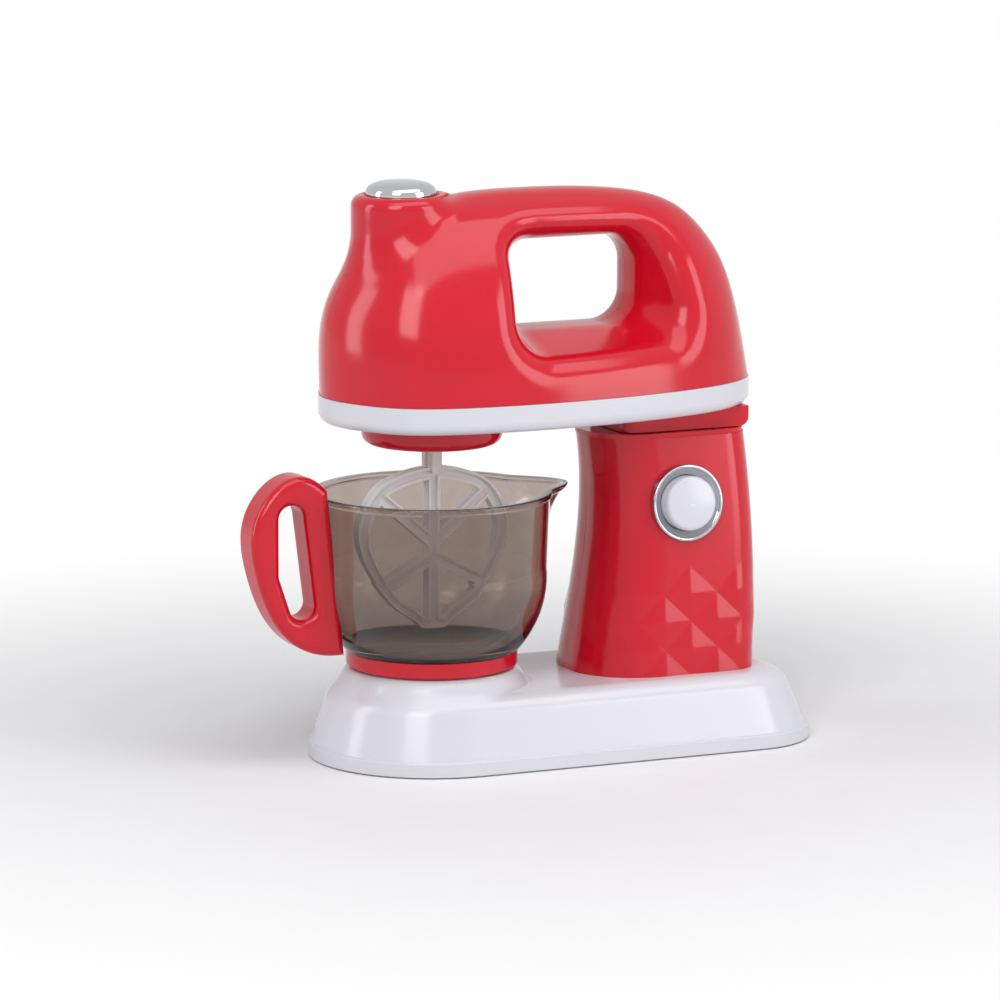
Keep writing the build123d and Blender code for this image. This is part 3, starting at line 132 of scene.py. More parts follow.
def base_surface(columns=480):
    """Rows of the base: a profile of (inset, height) moved in along the plan's normal, the tail leaning
    in by half as much again, then rays to the bowl's middle. The seat is a cone joined to the flat top
    by the soft maximum."""
    plan, normal = base_plan(columns)
    profile = soft_outline(
        [(base_wall, base_return), (base_wall, base_clear), (0.0, base_clear), (0.0, lip_height),
         (lip_step, lip_height), (skirt_inset, base_height), (top_inset, base_height)],
        [0.3, 0.6, 0.5, 0.4, skirt_round], steps=12,
    )
    flat = plan[None] - profile[:, :1, None] * normal[None]
    lean = np.clip((plan[:, 0] - bowl_x) / (base_length / 2 - base_tail_radius - bowl_x), 0.0, 1.0)
    flat[..., 0] -= base_tail_lean_share * profile[:, :1] * lean
    high = np.repeat(profile[:, 1:], columns, axis=1)
    middle = np.array([bowl_x, 0.0])
    ray = flat[-1] - middle
    reach = np.linalg.norm(ray, axis=-1)
    share = np.linspace(1.0, 0.0, 40)[1:, None] ** 1.7
    rings = seat_well_radius + (reach[None] - seat_well_radius) * share
    inner = middle + (ray / reach[:, None])[None] * rings[..., None]
    flat = np.concatenate([flat, inner])
    high = np.concatenate([high, np.full(rings.shape, base_height)])
    away = np.linalg.norm(flat - middle, axis=-1)
    fall = (seat_top - base_height + seat_root) / (seat_foot_radius - seat_top_radius)
    cone = seat_top - (away - seat_top_radius) * fall
    seat = -soft_max(-cone, np.full(away.shape, -seat_top), seat_rim_round)
    high = np.where(high > seat_begin, soft_max(high, seat, seat_foot_round), high)
    well = np.array([seat_well_radius, seat_well_edge, 0.0])
    ring = middle + (ray / reach[:, None])[None] * well[:, None, None]
    flat = np.concatenate([flat, ring])
    high = np.concatenate([high, np.full(ring.shape[:2], seat_well_floor)])
    return np.concatenate([flat, high[..., None]], axis=-1)


def node_in(tree, kind, **settings):
    """New shader node with some of its properties set."""
    node = tree.nodes.new(kind)
    for key, value in settings.items():
        setattr(node, key, value)
    return node


def moulded_skin():
    """Surface of a polished moulding: broad flow shading in the colour, a fine roughness mottle with a
    few dull scuffs, and a very shallow orange peel as the normal, all from the piece's own Object
    coordinates."""
    group = bpy.data.node_groups.new("moulded_skin", "ShaderNodeTree")
    for label, kind, value in (
        ("Color", "NodeSocketColor", (0.5, 0.5, 0.5, 1.0)),
        ("Flow Color", "NodeSocketColor", (0.4, 0.4, 0.4, 1.0)),
        ("Roughness", "NodeSocketFloat", 0.15),
        ("Mottle", "NodeSocketFloat", 0.05),
        ("Peel", "NodeSocketFloat", 0.02),
    ):
        group.interface.new_socket(label, in_out="INPUT", socket_type=kind).default_value = value
    group.interface.new_socket("Color", in_out="OUTPUT", socket_type="NodeSocketColor")
    group.interface.new_socket("Roughness", in_out="OUTPUT", socket_type="NodeSocketFloat")
    group.interface.new_socket("Normal", in_out="OUTPUT", socket_type="NodeSocketVector")
    link = group.links.new
    given = node_in(group, "NodeGroupInput")
    put = node_in(group, "NodeGroupOutput")
    place = node_in(group, "ShaderNodeTexCoord")
    flow = node_in(group, "ShaderNodeTexNoise")
    flow.inputs["Scale"].default_value = 28.0
    flow.inputs["Detail"].default_value = 2.0
    link(place.outputs["Object"], flow.inputs["Vector"])
    tone = node_in(group, "ShaderNodeMix", data_type="RGBA")
    link(flow.outputs["Fac"], tone.inputs["Factor"])
    link(given.outputs["Color"], tone.inputs["A"])
    link(given.outputs["Flow Color"], tone.inputs["B"])
    link(tone.outputs["Result"], put.inputs["Color"])
    mottle = node_in(group, "ShaderNodeTexNoise")
    mottle.inputs["Scale"].default_value = 900.0
    mottle.inputs["Detail"].default_value = 3.0
    link(place.outputs["Object"], mottle.inputs["Vector"])
    stretch = node_in(group, "ShaderNodeMapping")
    stretch.inputs["Rotation"].default_value = (0.4, 0.7, 0.3)
    stretch.inputs["Scale"].default_value = (60.0, 900.0, 60.0)
    link(place.outputs["Object"], stretch.inputs["Vector"])
    scuff = node_in(group, "ShaderNodeTexNoise")
    scuff.inputs["Scale"].default_value = 1.0
    scuff.inputs["Detail"].default_value = 1.0
    link(stretch.outputs["Vector"], scuff.inputs["Vector"])
    rare = node_in(group, "ShaderNodeMapRange")
    rare.inputs["From Min"].default_value = 0.68
    rare.inputs["From Max"].default_value = 0.8
    link(scuff.outputs["Fac"], rare.inputs["Value"])
    spread = node_in(group, "ShaderNodeMath", operation="MULTIPLY_ADD")
    link(mottle.outputs["Fac"], spread.inputs[0])
    link(given.outputs["Mottle"], spread.inputs[1])
    link(given.outputs["Roughness"], spread.inputs[2])
    dull = node_in(group, "ShaderNodeMath", operation="MULTIPLY_ADD")
    dull.inputs[1].default_value = 0.08
    link(rare.outputs["Result"], dull.inputs[0])
    link(spread.outputs["Value"], dull.inputs[2])
    link(dull.outputs["Value"], put.inputs["Roughness"])
    peel = node_in(group, "ShaderNodeTexNoise")
    peel.inputs["Scale"].default_value = 260.0
    peel.inputs["Detail"].default_value = 1.0
    link(place.outputs["Object"], peel.inputs["Vector"])
    bump = node_in(group, "ShaderNodeBump")
    bump.inputs["Distance"].default_value = 0.0006
    link(given.outputs["Peel"], bump.inputs["Strength"])
    link(peel.outputs["Fac"], bump.inputs["Height"])
    link(bump.outputs["Normal"], put.inputs["Normal"])
    return group


moulded = moulded_skin()


def finish_of(name, color, flow_color, roughness, mottle=0.05, peel=0.02, **sockets):
    """Material of one finish: the moulded skin group feeds a Principled shader, and the values that are
    the same all over the piece are set on the shader's own sockets."""
    material = bpy.data.materials.new(name)
    material.use_nodes = True
    tree = material.node_tree
    shader = tree.nodes["Principled BSDF"]
    surface = node_in(tree, "ShaderNodeGroup", node_tree=moulded)
    surface.inputs["Color"].default_value = (*color, 1.0)
    surface.inputs["Flow Color"].default_value = (*flow_color, 1.0)
    surface.inputs["Roughness"].default_value = roughness
    surface.inputs["Mottle"].default_value = mottle
    surface.inputs["Peel"].default_value = peel
    tree.links.new(surface.outputs["Color"], shader.inputs["Base Color"])
    tree.links.new(surface.outputs["Roughness"], shader.inputs["Roughness"])
    tree.links.new(surface.outputs["Normal"], shader.inputs["Normal"])
    for label, value in sockets.items():
        shader.inputs[label.replace("_", " ")].default_value = value
    return material


def dress(material, *names):
    """Gives CAD pieces a finish in every material slot that they have."""
    for name in names:
        mesh = nodes[name].data
        mesh.materials.clear()
        mesh.materials.append(material)


white_gloss = finish_of("white_gloss", (0.68, 0.675, 0.72), (0.65, 0.645, 0.69), 0.16)
base_casing = skin("base_casing", base_surface(), around=True)
base_casing.data.materials.append(white_gloss)
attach(base_casing, "stand")
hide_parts("base_shell")

# Bottom plate, battery door and what they close in: a flat white plate with the battery box moulded on,
# three cells between sprung metal contacts, and the screws that hold plate and door.
steel = finish_of("steel", (0.56, 0.56, 0.57), (0.48, 0.48, 0.5), 0.28, mottle=0.14, Metallic=1.0)
contact_metal = finish_of(
    "contact_metal", (0.66, 0.63, 0.55), (0.58, 0.55, 0.47), 0.25, mottle=0.12, Metallic=1.0,
)
cell_can = finish_of("cell_can", (0.10, 0.11, 0.13), (0.16, 0.17, 0.19), 0.3, Metallic=1.0)
dress(white_gloss, "base_plate", "battery_door")
dress(cell_can, "battery_cells")
dress(contact_metal, "battery_contacts")
dress(steel, "battery_door_screw", "base_screws")

# Column: two red half shells screwed together from the right, with rows of shallow diamonds moulded on
# the lower sides, and a lid that carries the hinge pin. The left shell has the push button's round
# hole.
column_low, column_height, column_top = 26.0, 85.0, 83.4
column_foot_half, column_top_half = 27.0, 20.0
column_levels = np.array([0.0, 0.3, 0.72, 1.0])
column_fronts = np.array([4.5, 8.9, 12.5, 10.5])
column_rears = np.array([68.41, 70.1, 69.58, 67.5])
column_front_slopes, column_rear_slopes = (14.5, -13.2), (8.0, -9.8)
front_round_share, rear_radius = 0.9, 11.0
diamond_half_width, diamond_half_height, diamond_relief = 10.2, 9.7, 0.34
diamond_first_x, diamond_first_height, diamond_steps = 20.8, 28.5, 16
button_middle = np.array([40.3, -22.0259, 86.4])
button_inward = np.array([0.0, 0.9966261, -0.0820751])
button_hole_radius = 11.4


def spline(knots, values, ends, at):
    """Cubic curve through values at knots with given slopes at both ends: the inner slopes solve the
    linear system that makes the curvature of neighbouring pieces agree, and each piece is a Hermite
    cubic."""
    count = len(knots)
    gap = np.diff(knots)
    rise = np.diff(values) / gap
    system = np.eye(count)
    right = np.empty(count)
    right[[0, -1]] = ends
    inner = np.arange(1, count - 1)
    system[inner, inner - 1] = gap[1:]
    system[inner, inner] = 2 * (gap[:-1] + gap[1:])
    system[inner, inner + 1] = gap[:-1]
    right[1:-1] = 3 * (gap[1:] * rise[:-1] + gap[:-1] * rise[1:])
    slope = np.linalg.solve(system, right)
    piece = np.clip(np.searchsorted(knots, at) - 1, 0, count - 2)
    width = gap[piece]
    part = (at - knots[piece]) / width
    rest = 1 - part
    return (
        values[piece] * (1 + 2 * part) * rest**2 + values[piece + 1] * (3 - 2 * part) * part**2
        + width * (slope[piece] * part * rest**2 - slope[piece + 1] * part**2 * rest)
    )


def diamond_rise(along, high):
    """Height of the diamonds over the wall, and which diagonal a cell is split by. In half widths and
    half heights the diamonds are a lattice: each rises as 1 less both distances from its middle, and
    its edges slope one way where the distances have the same sign and the other way elsewhere."""
    across = (along - diamond_first_x) / diamond_half_width
    up = (high - diamond_first_height) / diamond_half_height
    first, second = np.round((across + up) / 2), np.round((across - up) / 2)
    middle_across, middle_up = first + second, first - second
    off_across, off_up = across - middle_across, up - middle_up
    inside = (middle_up > -3.5) & (middle_up < 0.5) & (middle_across > -1.5) & (middle_across < 5.5)
    near = np.maximum(1.0 - np.abs(off_across) - np.abs(off_up), 0.0)
    return np.where(inside, diamond_relief * near, 0.0), off_across * off_up > 0.0


def column_side():
    """Left shell as points and triangles: rows by height, columns by the distance along the plan, which
    is a run and a wide arc at the front, the flat side, and an arc and a run at the rear. Rows and
    columns fall on the diamonds' edges. Triangles within the button's hole go, and the last points are
    drawn on to its circle."""
    step_x = diamond_half_width / diamond_steps
    step_z = diamond_half_height / diamond_steps
    diamond_top = diamond_first_height + diamond_half_height
    rows = diamond_top - step_z * np.arange(int(diamond_top / step_z) - 1, -1, -1)
    high = np.concatenate([[0.0], rows, np.linspace(diamond_top, column_top, 60)[1:]])[:, None]
    share = high / column_height
    half = column_foot_half + (column_top_half - column_foot_half) * share
    front_radius = front_round_share * half
    front_flat = spline(column_levels, column_fronts, column_front_slopes, share) + front_radius
    rear_flat = spline(column_levels, column_rears, column_rear_slopes, share) - rear_radius
    quarter = np.pi / 2
    begin = front_flat - front_radius * quarter - (half - front_radius)
    finish = rear_flat + rear_radius * quarter + (half - rear_radius)
    lattice = diamond_first_x + step_x * np.arange(-2 * diamond_steps, 6 * diamond_steps + 1)
    lead = np.linspace(0.0, 1.0, 20)[:-1]
    trail = np.linspace(0.0, 1.0, 20)[1:]
    along = np.concatenate([
        begin + (lattice[0] - begin) * lead, np.repeat(lattice[None], len(high), axis=0),
        lattice[-1] + (finish - lattice[-1]) * trail,
    ], axis=1)
    rise, _ = diamond_rise(along, high)
    before, after = front_flat - along, along - rear_flat
    turn = np.clip(after / rear_radius, 0.0, quarter) - np.clip(before / front_radius, 0.0, quarter)
    run = np.maximum(before - front_radius * quarter, 0.0) + np.maximum(after - rear_radius * quarter, 0.0)
    radius = np.where(after > 0.0, rear_radius, front_radius)
    x = np.clip(along, front_flat, rear_flat) + (radius + rise) * np.sin(turn)
    y = radius - half - (radius + rise) * np.cos(turn) + run
    points = np.stack([x, y, column_low + np.repeat(high, x.shape[1], axis=1)], axis=-1)
    _, falling = diamond_rise((along[:-1, :-1] + along[1:, 1:]) / 2, (high[:-1] + high[1:]) / 2)
    index = np.arange(points[..., 0].size).reshape(points.shape[:2])
    a, b, c, d = index[:-1, :-1], index[:-1, 1:], index[1:, 1:], index[1:, :-1]
    first = np.where(falling[..., None], np.stack([a, b, d], axis=-1), np.stack([a, b, c], axis=-1))
    second = np.where(falling[..., None], np.stack([b, c, d], axis=-1), np.stack([a, c, d], axis=-1))
    triangles = np.concatenate([first.reshape(-1, 3), second.reshape(-1, 3)])
    points = points.reshape(-1, 3)
    spread = points - button_middle
    spread = spread - (spread @ button_inward)[:, None] * button_inward
    reach = np.linalg.norm(spread, axis=-1)
    hole = reach < button_hole_radius
    points[hole] += spread[hole] * (button_hole_radius / np.maximum(reach[hole], 0.1) - 1.0)[:, None]
    triangles = triangles[~hole[triangles].all(axis=1)]
    kept, triangles = np.unique(triangles, return_inverse=True)
    return points[kept], triangles.reshape(-1, 3)


red_gloss = finish_of(
    "red_gloss", (0.62, 0.0055, 0.022), (0.57, 0.0045, 0.018), 0.12, Specular_IOR_Level=0.42,
)
column_left = mesh_piece("column_left", *column_side())
column_left.data.materials.append(red_gloss)
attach(column_left, "stand")
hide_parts("column_shell_left")
dress(red_gloss, "column_shell_right", "column_cap")
dress(steel, "column_screws", "column_foot_screws", "hinge_pin")

# Push button: a chrome-plated ring snapped into the column's left side, and a white cap that a steel
# spring keeps out. The spring stands on the switch's board and shortens as the cap is pressed.
chrome = finish_of(
    "chrome", (0.60, 0.61, 0.63), (0.54, 0.55, 0.57), 0.05, mottle=0.04, peel=0.004, Metallic=1.0,
)
circuit_board = finish_of("circuit_board", (0.03, 0.16, 0.06), (0.02, 0.11, 0.04), 0.4)
dress(chrome, "button_bezel")
dress(white_gloss, "power_button")
dress(circuit_board, "power_switch")
spring_wire = 0.45


def coil(middle, axis, first, last, radius, turns=4):
    """Wire spring about an axis: its middle line turns evenly while it goes from the first to the last
    distance along the axis, each ring of the wire stands across that line, and both ends close to a
    point."""
    across = np.cross(axis, [1.0, 0.0, 0.0])
    share = np.linspace(0.0, 1.0, 40 * turns)[:, None]
    outward = np.cos(2 * np.pi * turns * share) * np.array([1.0, 0.0, 0.0])
    outward = outward + np.sin(2 * np.pi * turns * share) * across
    line = middle + axis * (first + (last - first) * share) + radius * outward
    ring = np.linspace(0.0, 2 * np.pi, 10, endpoint=False)[None, :, None]
    tube = line[:, None] + spring_wire * (np.cos(ring) * outward[:, None] + np.sin(ring) * axis)
    tips = np.repeat(line[[0, -1], None], 10, axis=1)
    return np.concatenate([tips[:1], tube, tips[1:]])


def fit_spring(name, node, body, points):
    """Spring that rides a body and takes its node's place, in steel."""
    spring = skin(name, points, around=True)
    spring.data.materials.append(steel)
    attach(spring, body)
    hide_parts(node)
    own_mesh(spring)


button_spring_far, button_spring_near, button_spring_radius, button_travel = 14.0, 6.05, 8.0, 2.0
button_ends = button_spring_near + spring_wire, button_spring_far - spring_wire
fit_spring(
    "button_coil", "power_button_spring", "stand",
    coil(button_middle, button_inward, *button_ends, button_spring_radius),
)

# Neck and tray: the red block that swings on the hinge pin, and the white tray that closes the head
# from below and shows as a band round it. Screws hold both.
dress(red_gloss, "head_neck")
dress(white_gloss, "head_tray")
dress(steel, "tray_screws", "neck_screws")

# Collar, spindle and gear train in the tray: a red cup round the brass bush, and pale nylon gears on
# steel pins that a small motor drives.
bush_brass = finish_of(
    "bush_brass", (0.62, 0.42, 0.16), (0.54, 0.35, 0.12), 0.25, mottle=0.1, Metallic=1.0,
)
gear_plastic = finish_of("gear_plastic", (0.72, 0.70, 0.62), (0.66, 0.64, 0.56), 0.38)
motor_can = finish_of("motor_can", (0.50, 0.51, 0.53), (0.42, 0.43, 0.45), 0.3, mottle=0.15, Metallic=1.0)
dress(red_gloss, "beater_collar")
dress(bush_brass, "spindle_bush")
dress(gear_plastic, "spindle", "output_gear", "reduction_gear", "motor_pinion", "gearbox_plate")
dress(steel, "collar_screws", "gearbox_screws", "idler_pin", "motor_shaft")
dress(motor_can, "motor")

# Head housing: two red half shells that meet on the middle plane, moulded with a handle opening that
# flares towards the sides and a round boss for the top button. The screws enter from the right.
head_length, head_front, head_low, head_height, head_width = 162.0, -87.0, 128.0, 69.0, 80.0
head_levels = np.array([0.0, 0.23, 0.45, 0.63, 0.78, 0.9, 0.97, 1.0, 1.0065])
head_width_shares = np.array([1.0, 0.975, 0.89, 0.765, 0.61, 0.43, 0.24, 0.11, 0.0])
head_nose_shares = np.array([0.002, 0.0, 0.013, 0.05, 0.09, 0.15, 0.25, 0.35, 0.44])
head_tail_shares = np.array([0.012, 0.03, 0.052, 0.083, 0.13, 0.195, 0.293, 0.42, 0.53])
boss_x, boss_radius, boss_edge, boss_top = -58.7, 17.3, 4.0, 197.4
bore_radius, bore_floor = 12.5, 183.7
boss_blend, lip_roll, bore_round = 5.0, 9.0, 1.8
opening_x, opening_z, opening_half_x, opening_half_z = 0.25, 164.5, 25.75, 15.4
opening_corner, opening_core, flare_run, flare_scoop = 11.0, 9.0, 37.0, 0.85
flare_front, flare_rear, flare_top, flare_low, flare_corner = 6.0, 26.5, 21.0, 10.0, 4.0
plan_knots = np.array([0.0, 0.094, 0.173, 0.343, 0.531, 0.747, 0.884, 1.0])
plan_length_shares = np.array([0.0, 0.032, 0.09, 0.29, 0.52, 0.78, 0.93, 1.0])
plan_width_shares = np.array([0.0, 0.45, 0.76, 1.0, 0.99, 0.8, 0.5, 0.0])
plan_steps = np.linspace(0.0, 1.0, 1200)
plan_along = np.maximum.accumulate(spline(plan_knots, plan_length_shares, (0.0, 0.0), plan_steps))
plan_square = np.maximum(spline(plan_knots, plan_width_shares, (4.9, -4.9), plan_steps), 0.0) ** 2
crown = head_levels[-1]
level_depth = np.sqrt(crown - head_levels)[::-1]
depth_steps = np.linspace(0.0, level_depth[-1], 800)


def over_depth(shares):
    """A share of the head's levels as a smooth table over the root of the depth below the crown."""
    shares = shares[::-1]
    first = (shares[1] - shares[0]) / (level_depth[1] - level_depth[0])
    last = (shares[-1] - shares[-2]) / (level_depth[-1] - level_depth[-2])
    return spline(level_depth, shares, (first, last), depth_steps)


nose_table = over_depth(head_nose_shares)
tail_table = over_depth(head_tail_shares)
width_table = over_depth(head_width_shares)
upper = depth_steps < np.sqrt(crown - 0.3)
ridge_x = np.concatenate([nose_table[upper][::-1], 1.0 - tail_table[upper]]) * head_length + head_front
ridge_z = np.concatenate([depth_steps[upper][::-1], depth_steps[upper]])
ridge_z = head_low + head_height * (crown - ridge_z**2)
ridge_slope = np.gradient(ridge_z, ridge_x)


def body_square(x, y, z):
    """Square of y less the square of the half width: at each height the plan is the egg curve between
    that height's nose and tail, so the square is (half width)^2 times the plan's square share. It is
    negative inside, and beyond nose, tail and crown it grows in step with the distance."""
    level = (z - head_low) / head_height
    depth = np.sqrt(np.maximum(crown - level, 0.0))
    nose = np.interp(depth, depth_steps, nose_table)
    tail = np.interp(depth, depth_steps, tail_table)
    wide = (np.interp(depth, depth_steps, width_table) * head_width / 2) ** 2
    along = ((x - head_front) / head_length - nose) / (1.0 - nose - tail)
    share = np.interp(along, plan_along, plan_square)
    beyond = np.maximum(np.maximum(-along, along - 1.0), 0.0) * 5.6 * np.maximum(wide, 6.0)
    above = np.maximum(level - crown, 0.0) * 4000.0
    return y * y - wide * share + beyond + above


def opening_depth(x, y, z):
    """Distance-like field of the handle opening, negative in it: a rounded rectangle in X and Z whose
    four sides move out as y leaves the straight core, the rear side most, along a scooped curve."""
    away = np.abs(y) - opening_core
    flare = 0.5 * (away + np.sqrt(away * away + 12.0)) / flare_run
    scoop = np.maximum(flare, 1e-6) ** flare_scoop
    front = opening_half_x + flare_front * flare
    rear = opening_half_x + flare_rear * scoop
    top = opening_half_z + flare_top * flare
    low = opening_half_z + flare_low * flare
    radius = opening_corner + flare_corner * flare
    over_x = np.abs(x - opening_x - (rear - front) / 2) - (rear + front) / 2 + radius
    over_z = np.abs(z - opening_z - (top - low) / 2) - (top + low) / 2 + radius
    corner = np.hypot(np.maximum(over_x, 0.0), np.maximum(over_z, 0.0))
    return corner + np.minimum(np.maximum(over_x, over_z), 0.0) - radius


def true_distance(field, x, y, z):
    """Field divided by the length of its own gradient, taken by small central steps: near its zero a
    distance."""
    step = 0.04
    value = field(x, y, z)
    grad_x = field(x + step, y, z) - field(x - step, y, z)
    grad_y = field(x, y + step, z) - field(x, y - step, z)
    grad_z = field(x, y, z + step) - field(x, y, z - step)
    steep = np.sqrt(grad_x**2 + grad_y**2 + grad_z**2) / (2 * step)
    return value / np.maximum(steep, 1e-3)


def housing_field(x, y, z):
    """Distance to the head's outside: body joined to the boss by a soft minimum, less the flared
    opening with a rolled lip, less the bore for the top button. Above the body's ridge line its
    distance lies between that from the ridge's tangent plane and that from the line."""
    body = np.clip(true_distance(body_square, x, y, z), -30.0, 30.0)
    over = (z - np.interp(x, ridge_x, ridge_z)) / np.hypot(1.0, np.interp(x, ridge_x, ridge_slope))
    body = np.where(over > 0.0, np.clip(body, over, np.hypot(over, y)), body)
    ring = np.hypot(x - boss_x, y)
    over_r = ring - boss_radius + boss_edge
    over_z = z - boss_top + boss_edge
    boss = np.hypot(np.maximum(over_r, 0.0), np.maximum(over_z, 0.0)) - boss_edge
    boss = boss + np.minimum(np.maximum(over_r, over_z), 0.0)
    shape = -soft_max(-body, -boss, boss_blend)
    opening = np.clip(true_distance(opening_depth, x, y, z), -30.0, 30.0)
    shape = soft_max(shape, -opening, lip_roll)
    bore = np.maximum(ring - bore_radius, bore_floor - z)
    return soft_max(shape, -bore, bore_round)


screw_shares = np.array([(0.06, 0.29), (0.36, 0.895), (0.66, 0.895), (0.8, 0.16), (0.925, 0.16)])
screw_places = np.array([head_front, head_low]) + screw_shares * np.array([head_length, head_height])
recess_radius, recess_floor, recess_round = 2.85, 7.0, 0.5


def right_housing_field(x, y, z):
    """The right half as seen in the left half's place: the same field less five screw recesses along
    Y."""
    shape = housing_field(x, y, z)
    for place_x, place_z in screw_places:
        recess = np.maximum(np.hypot(x - place_x, z - place_z) - recess_radius, y + recess_floor)
        shape = soft_max(shape, -recess, recess_round)
    return shape


def level_skin(field, low, high, step):
    """Points and quads on a field's zero level. The field is sampled on a lattice; each cell that the
    level crosses gets one point, the mean of its edge crossings, each crossed lattice edge gets the
    quad of its four cells, and the points then slide along the gradient on to the level."""
    axes = [np.arange(a, b, step) for a, b in zip(low, high)]
    value = field(*np.meshgrid(*axes, indexing="ij"))
    inside = value < 0.0
    size = np.array(value.shape)
    total = np.zeros((*(size - 1), 3))
    count = np.zeros(size - 1)
    cells = [np.arange(n - 1.0) for n in size]
    lattice = np.stack(np.meshgrid(*cells, indexing="ij"), axis=-1)
    crossings = []
    for axis in range(3):
        first = np.moveaxis(value, axis, 0)
        change = np.moveaxis(inside, axis, 0)
        crossed = change[:-1] != change[1:]
        gap = first[:-1] - first[1:]
        part = np.where(crossed, first[:-1] / np.where(gap == 0.0, 1.0, gap), 0.0)
        crossings.append((crossed, change[:-1]))
        second, third = (other for other in range(3) if other != axis)
        for over in (0, 1):
            for aside in (0, 1):
                rows = slice(over, size[second] - 1 + over)
                columns = slice(aside, size[third] - 1 + aside)
                window = (slice(None), rows, columns)
                hit = np.moveaxis(crossed[window], 0, axis)
                place = lattice.copy()
                place[..., second] += over
                place[..., third] += aside
                place[..., axis] += np.moveaxis(part[window], 0, axis)
                total += place * hit[..., None]
                count += hit
    used = count > 0
    number = np.full(count.shape, -1)
    number[used] = np.arange(used.sum())
    points = np.array(low) + step * total[used] / count[used][:, None]
    quads = []
    for axis, (crossed, start_in) in enumerate(crossings):
        cell = np.moveaxis(number, axis, 0)
        inner = crossed[:, 1:-1, 1:-1]
        corners = cell[:, :-1, :-1], cell[:, 1:, :-1], cell[:, 1:, 1:], cell[:, :-1, 1:]
        four = np.stack(corners, axis=-1)[inner]
        turn = start_in[:, 1:-1, 1:-1][inner] ^ (axis == 1)
        quads.append(np.where(turn[:, None], four, four[:, ::-1]))
    for _ in range(4):
        delta = 0.05
        shift = np.eye(3) * delta
        here = field(*points.T)
        slope = [field(*(points + s).T) - field(*(points - s).T) for s in shift]
        slope = np.stack(slope, axis=-1) / (2 * delta)
        points = points - slope * (here / np.maximum((slope**2).sum(axis=-1), 0.05))[:, None]
    return points, np.concatenate(quads)


head_step = 0.75
head_reach = (-89.0, -43.5, 126.0), (77.5, 2.0, 200.5)
crest_round, boss_skirt, boss_spare, seam_gap, tray_overlap = 30.0, 8.0, 0.2, 0.05, 0.1


def trim(piece, point, normal):
    """Cuts a piece's mesh along a plane and drops what lies on the normal's side."""
    form = bmesh.new()
    form.from_mesh(piece.data)
    parts = list(form.verts) + list(form.edges) + list(form.faces)
    place = Vector(point) * mm
    bmesh.ops.bisect_plane(form, geom=parts, plane_co=place, plane_no=normal, clear_outer=True)
    form.to_mesh(piece.data)
    form.free()


for side, label, field in ((1.0, "left", housing_field), (-1.0, "right", right_housing_field)):
    shell_points, shell_quads = level_skin(field, *head_reach, head_step)
    shell_x, shell_y, shell_z = shell_points.T
    crest = np.interp(shell_x, ridge_x, ridge_z) - shell_y**2 / (2 * crest_round)
    crest[np.hypot(shell_x - boss_x, shell_y) < boss_radius + boss_skirt] = boss_top + boss_spare
    shell_points[:, 2] = np.minimum(shell_z, crest)
    shell_points = shell_points * np.array([1.0, side, 1.0])
    shell_quads = shell_quads if side > 0 else shell_quads[:, ::-1]
    shell = mesh_piece(f"head_housing_{label}", shell_points, shell_quads)
    trim(shell, (0.0, -seam_gap * side, 0.0), (0.0, side, 0.0))
    trim(shell, (0.0, 0.0, head_low + tray_overlap), (0.0, 0.0, -1.0))
    shell.data.materials.append(red_gloss)
    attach(shell, "head")
    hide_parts(f"head_shell_{label}")
dress(steel, "head_screws")

# Top button: a chrome-plated cap with a low dome and round shoulders, sprung up against the boss over a
# small switch. Its flange under the boss keeps it from coming out.


def turned(profile, columns=200):
    """Grid of a solid of revolution about the upright axis: each (radius, height) of the profile goes
    once round."""
    turn = np.linspace(0.0, 2 * np.pi, columns, endpoint=False)
    high = np.repeat(profile[:, 1:], columns, axis=1)
    return np.stack([profile[:, :1] * np.cos(turn), profile[:, :1] * np.sin(turn), high], axis=-1)


cap_radius, cap_shoulder, cap_top, cap_fullness = 12.2, 197.6, 202.2, 0.76
flange_radius, flange_low, flange_high = 14.2, 192.7, 194.7
cap_flange = [
    (0.0, flange_low), (flange_radius, flange_low), (flange_radius, flange_high), (cap_radius, flange_high),
    (cap_radius, cap_shoulder),
]
rise = np.linspace(0.0, np.pi / 2, 120)[1:]
dome_radius = cap_radius * np.cos(rise) ** cap_fullness
dome_height = cap_shoulder + (cap_top - cap_shoulder) * np.sin(rise) ** cap_fullness
cap_dome = np.stack([dome_radius, dome_height], axis=-1)
cap_profile = np.concatenate([soft_outline(cap_flange, [0.2, 0.2, 0.2], steps=4), cap_dome])
top_cap = skin("top_cap", turned(cap_profile, 280) + np.array([boss_x, 0.0, 0.0]), around=True)
top_cap.data.materials.append(chrome)
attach(top_cap, "top_button")
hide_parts("top_button")
dress(circuit_board, "top_switch")
cap_spring_low, cap_spring_radius, cap_travel = 185.3, 10.0, 2.5
cap_axis = np.array([0.0, 0.0, 1.0])
cap_ends = cap_spring_low + spring_wire, flange_low - spring_wire
fit_spring(
    "cap_coil", "top_button_spring", "head",
    coil(np.array([boss_x, 0.0, 0.0]), cap_axis, *cap_ends, cap_spring_radius),
)

# Bowl: a smoked clear jug on a red disc, with a beaded rim, a pouring lip and a red loop handle that is
# pressed on to two pegs of the bowl's wall.


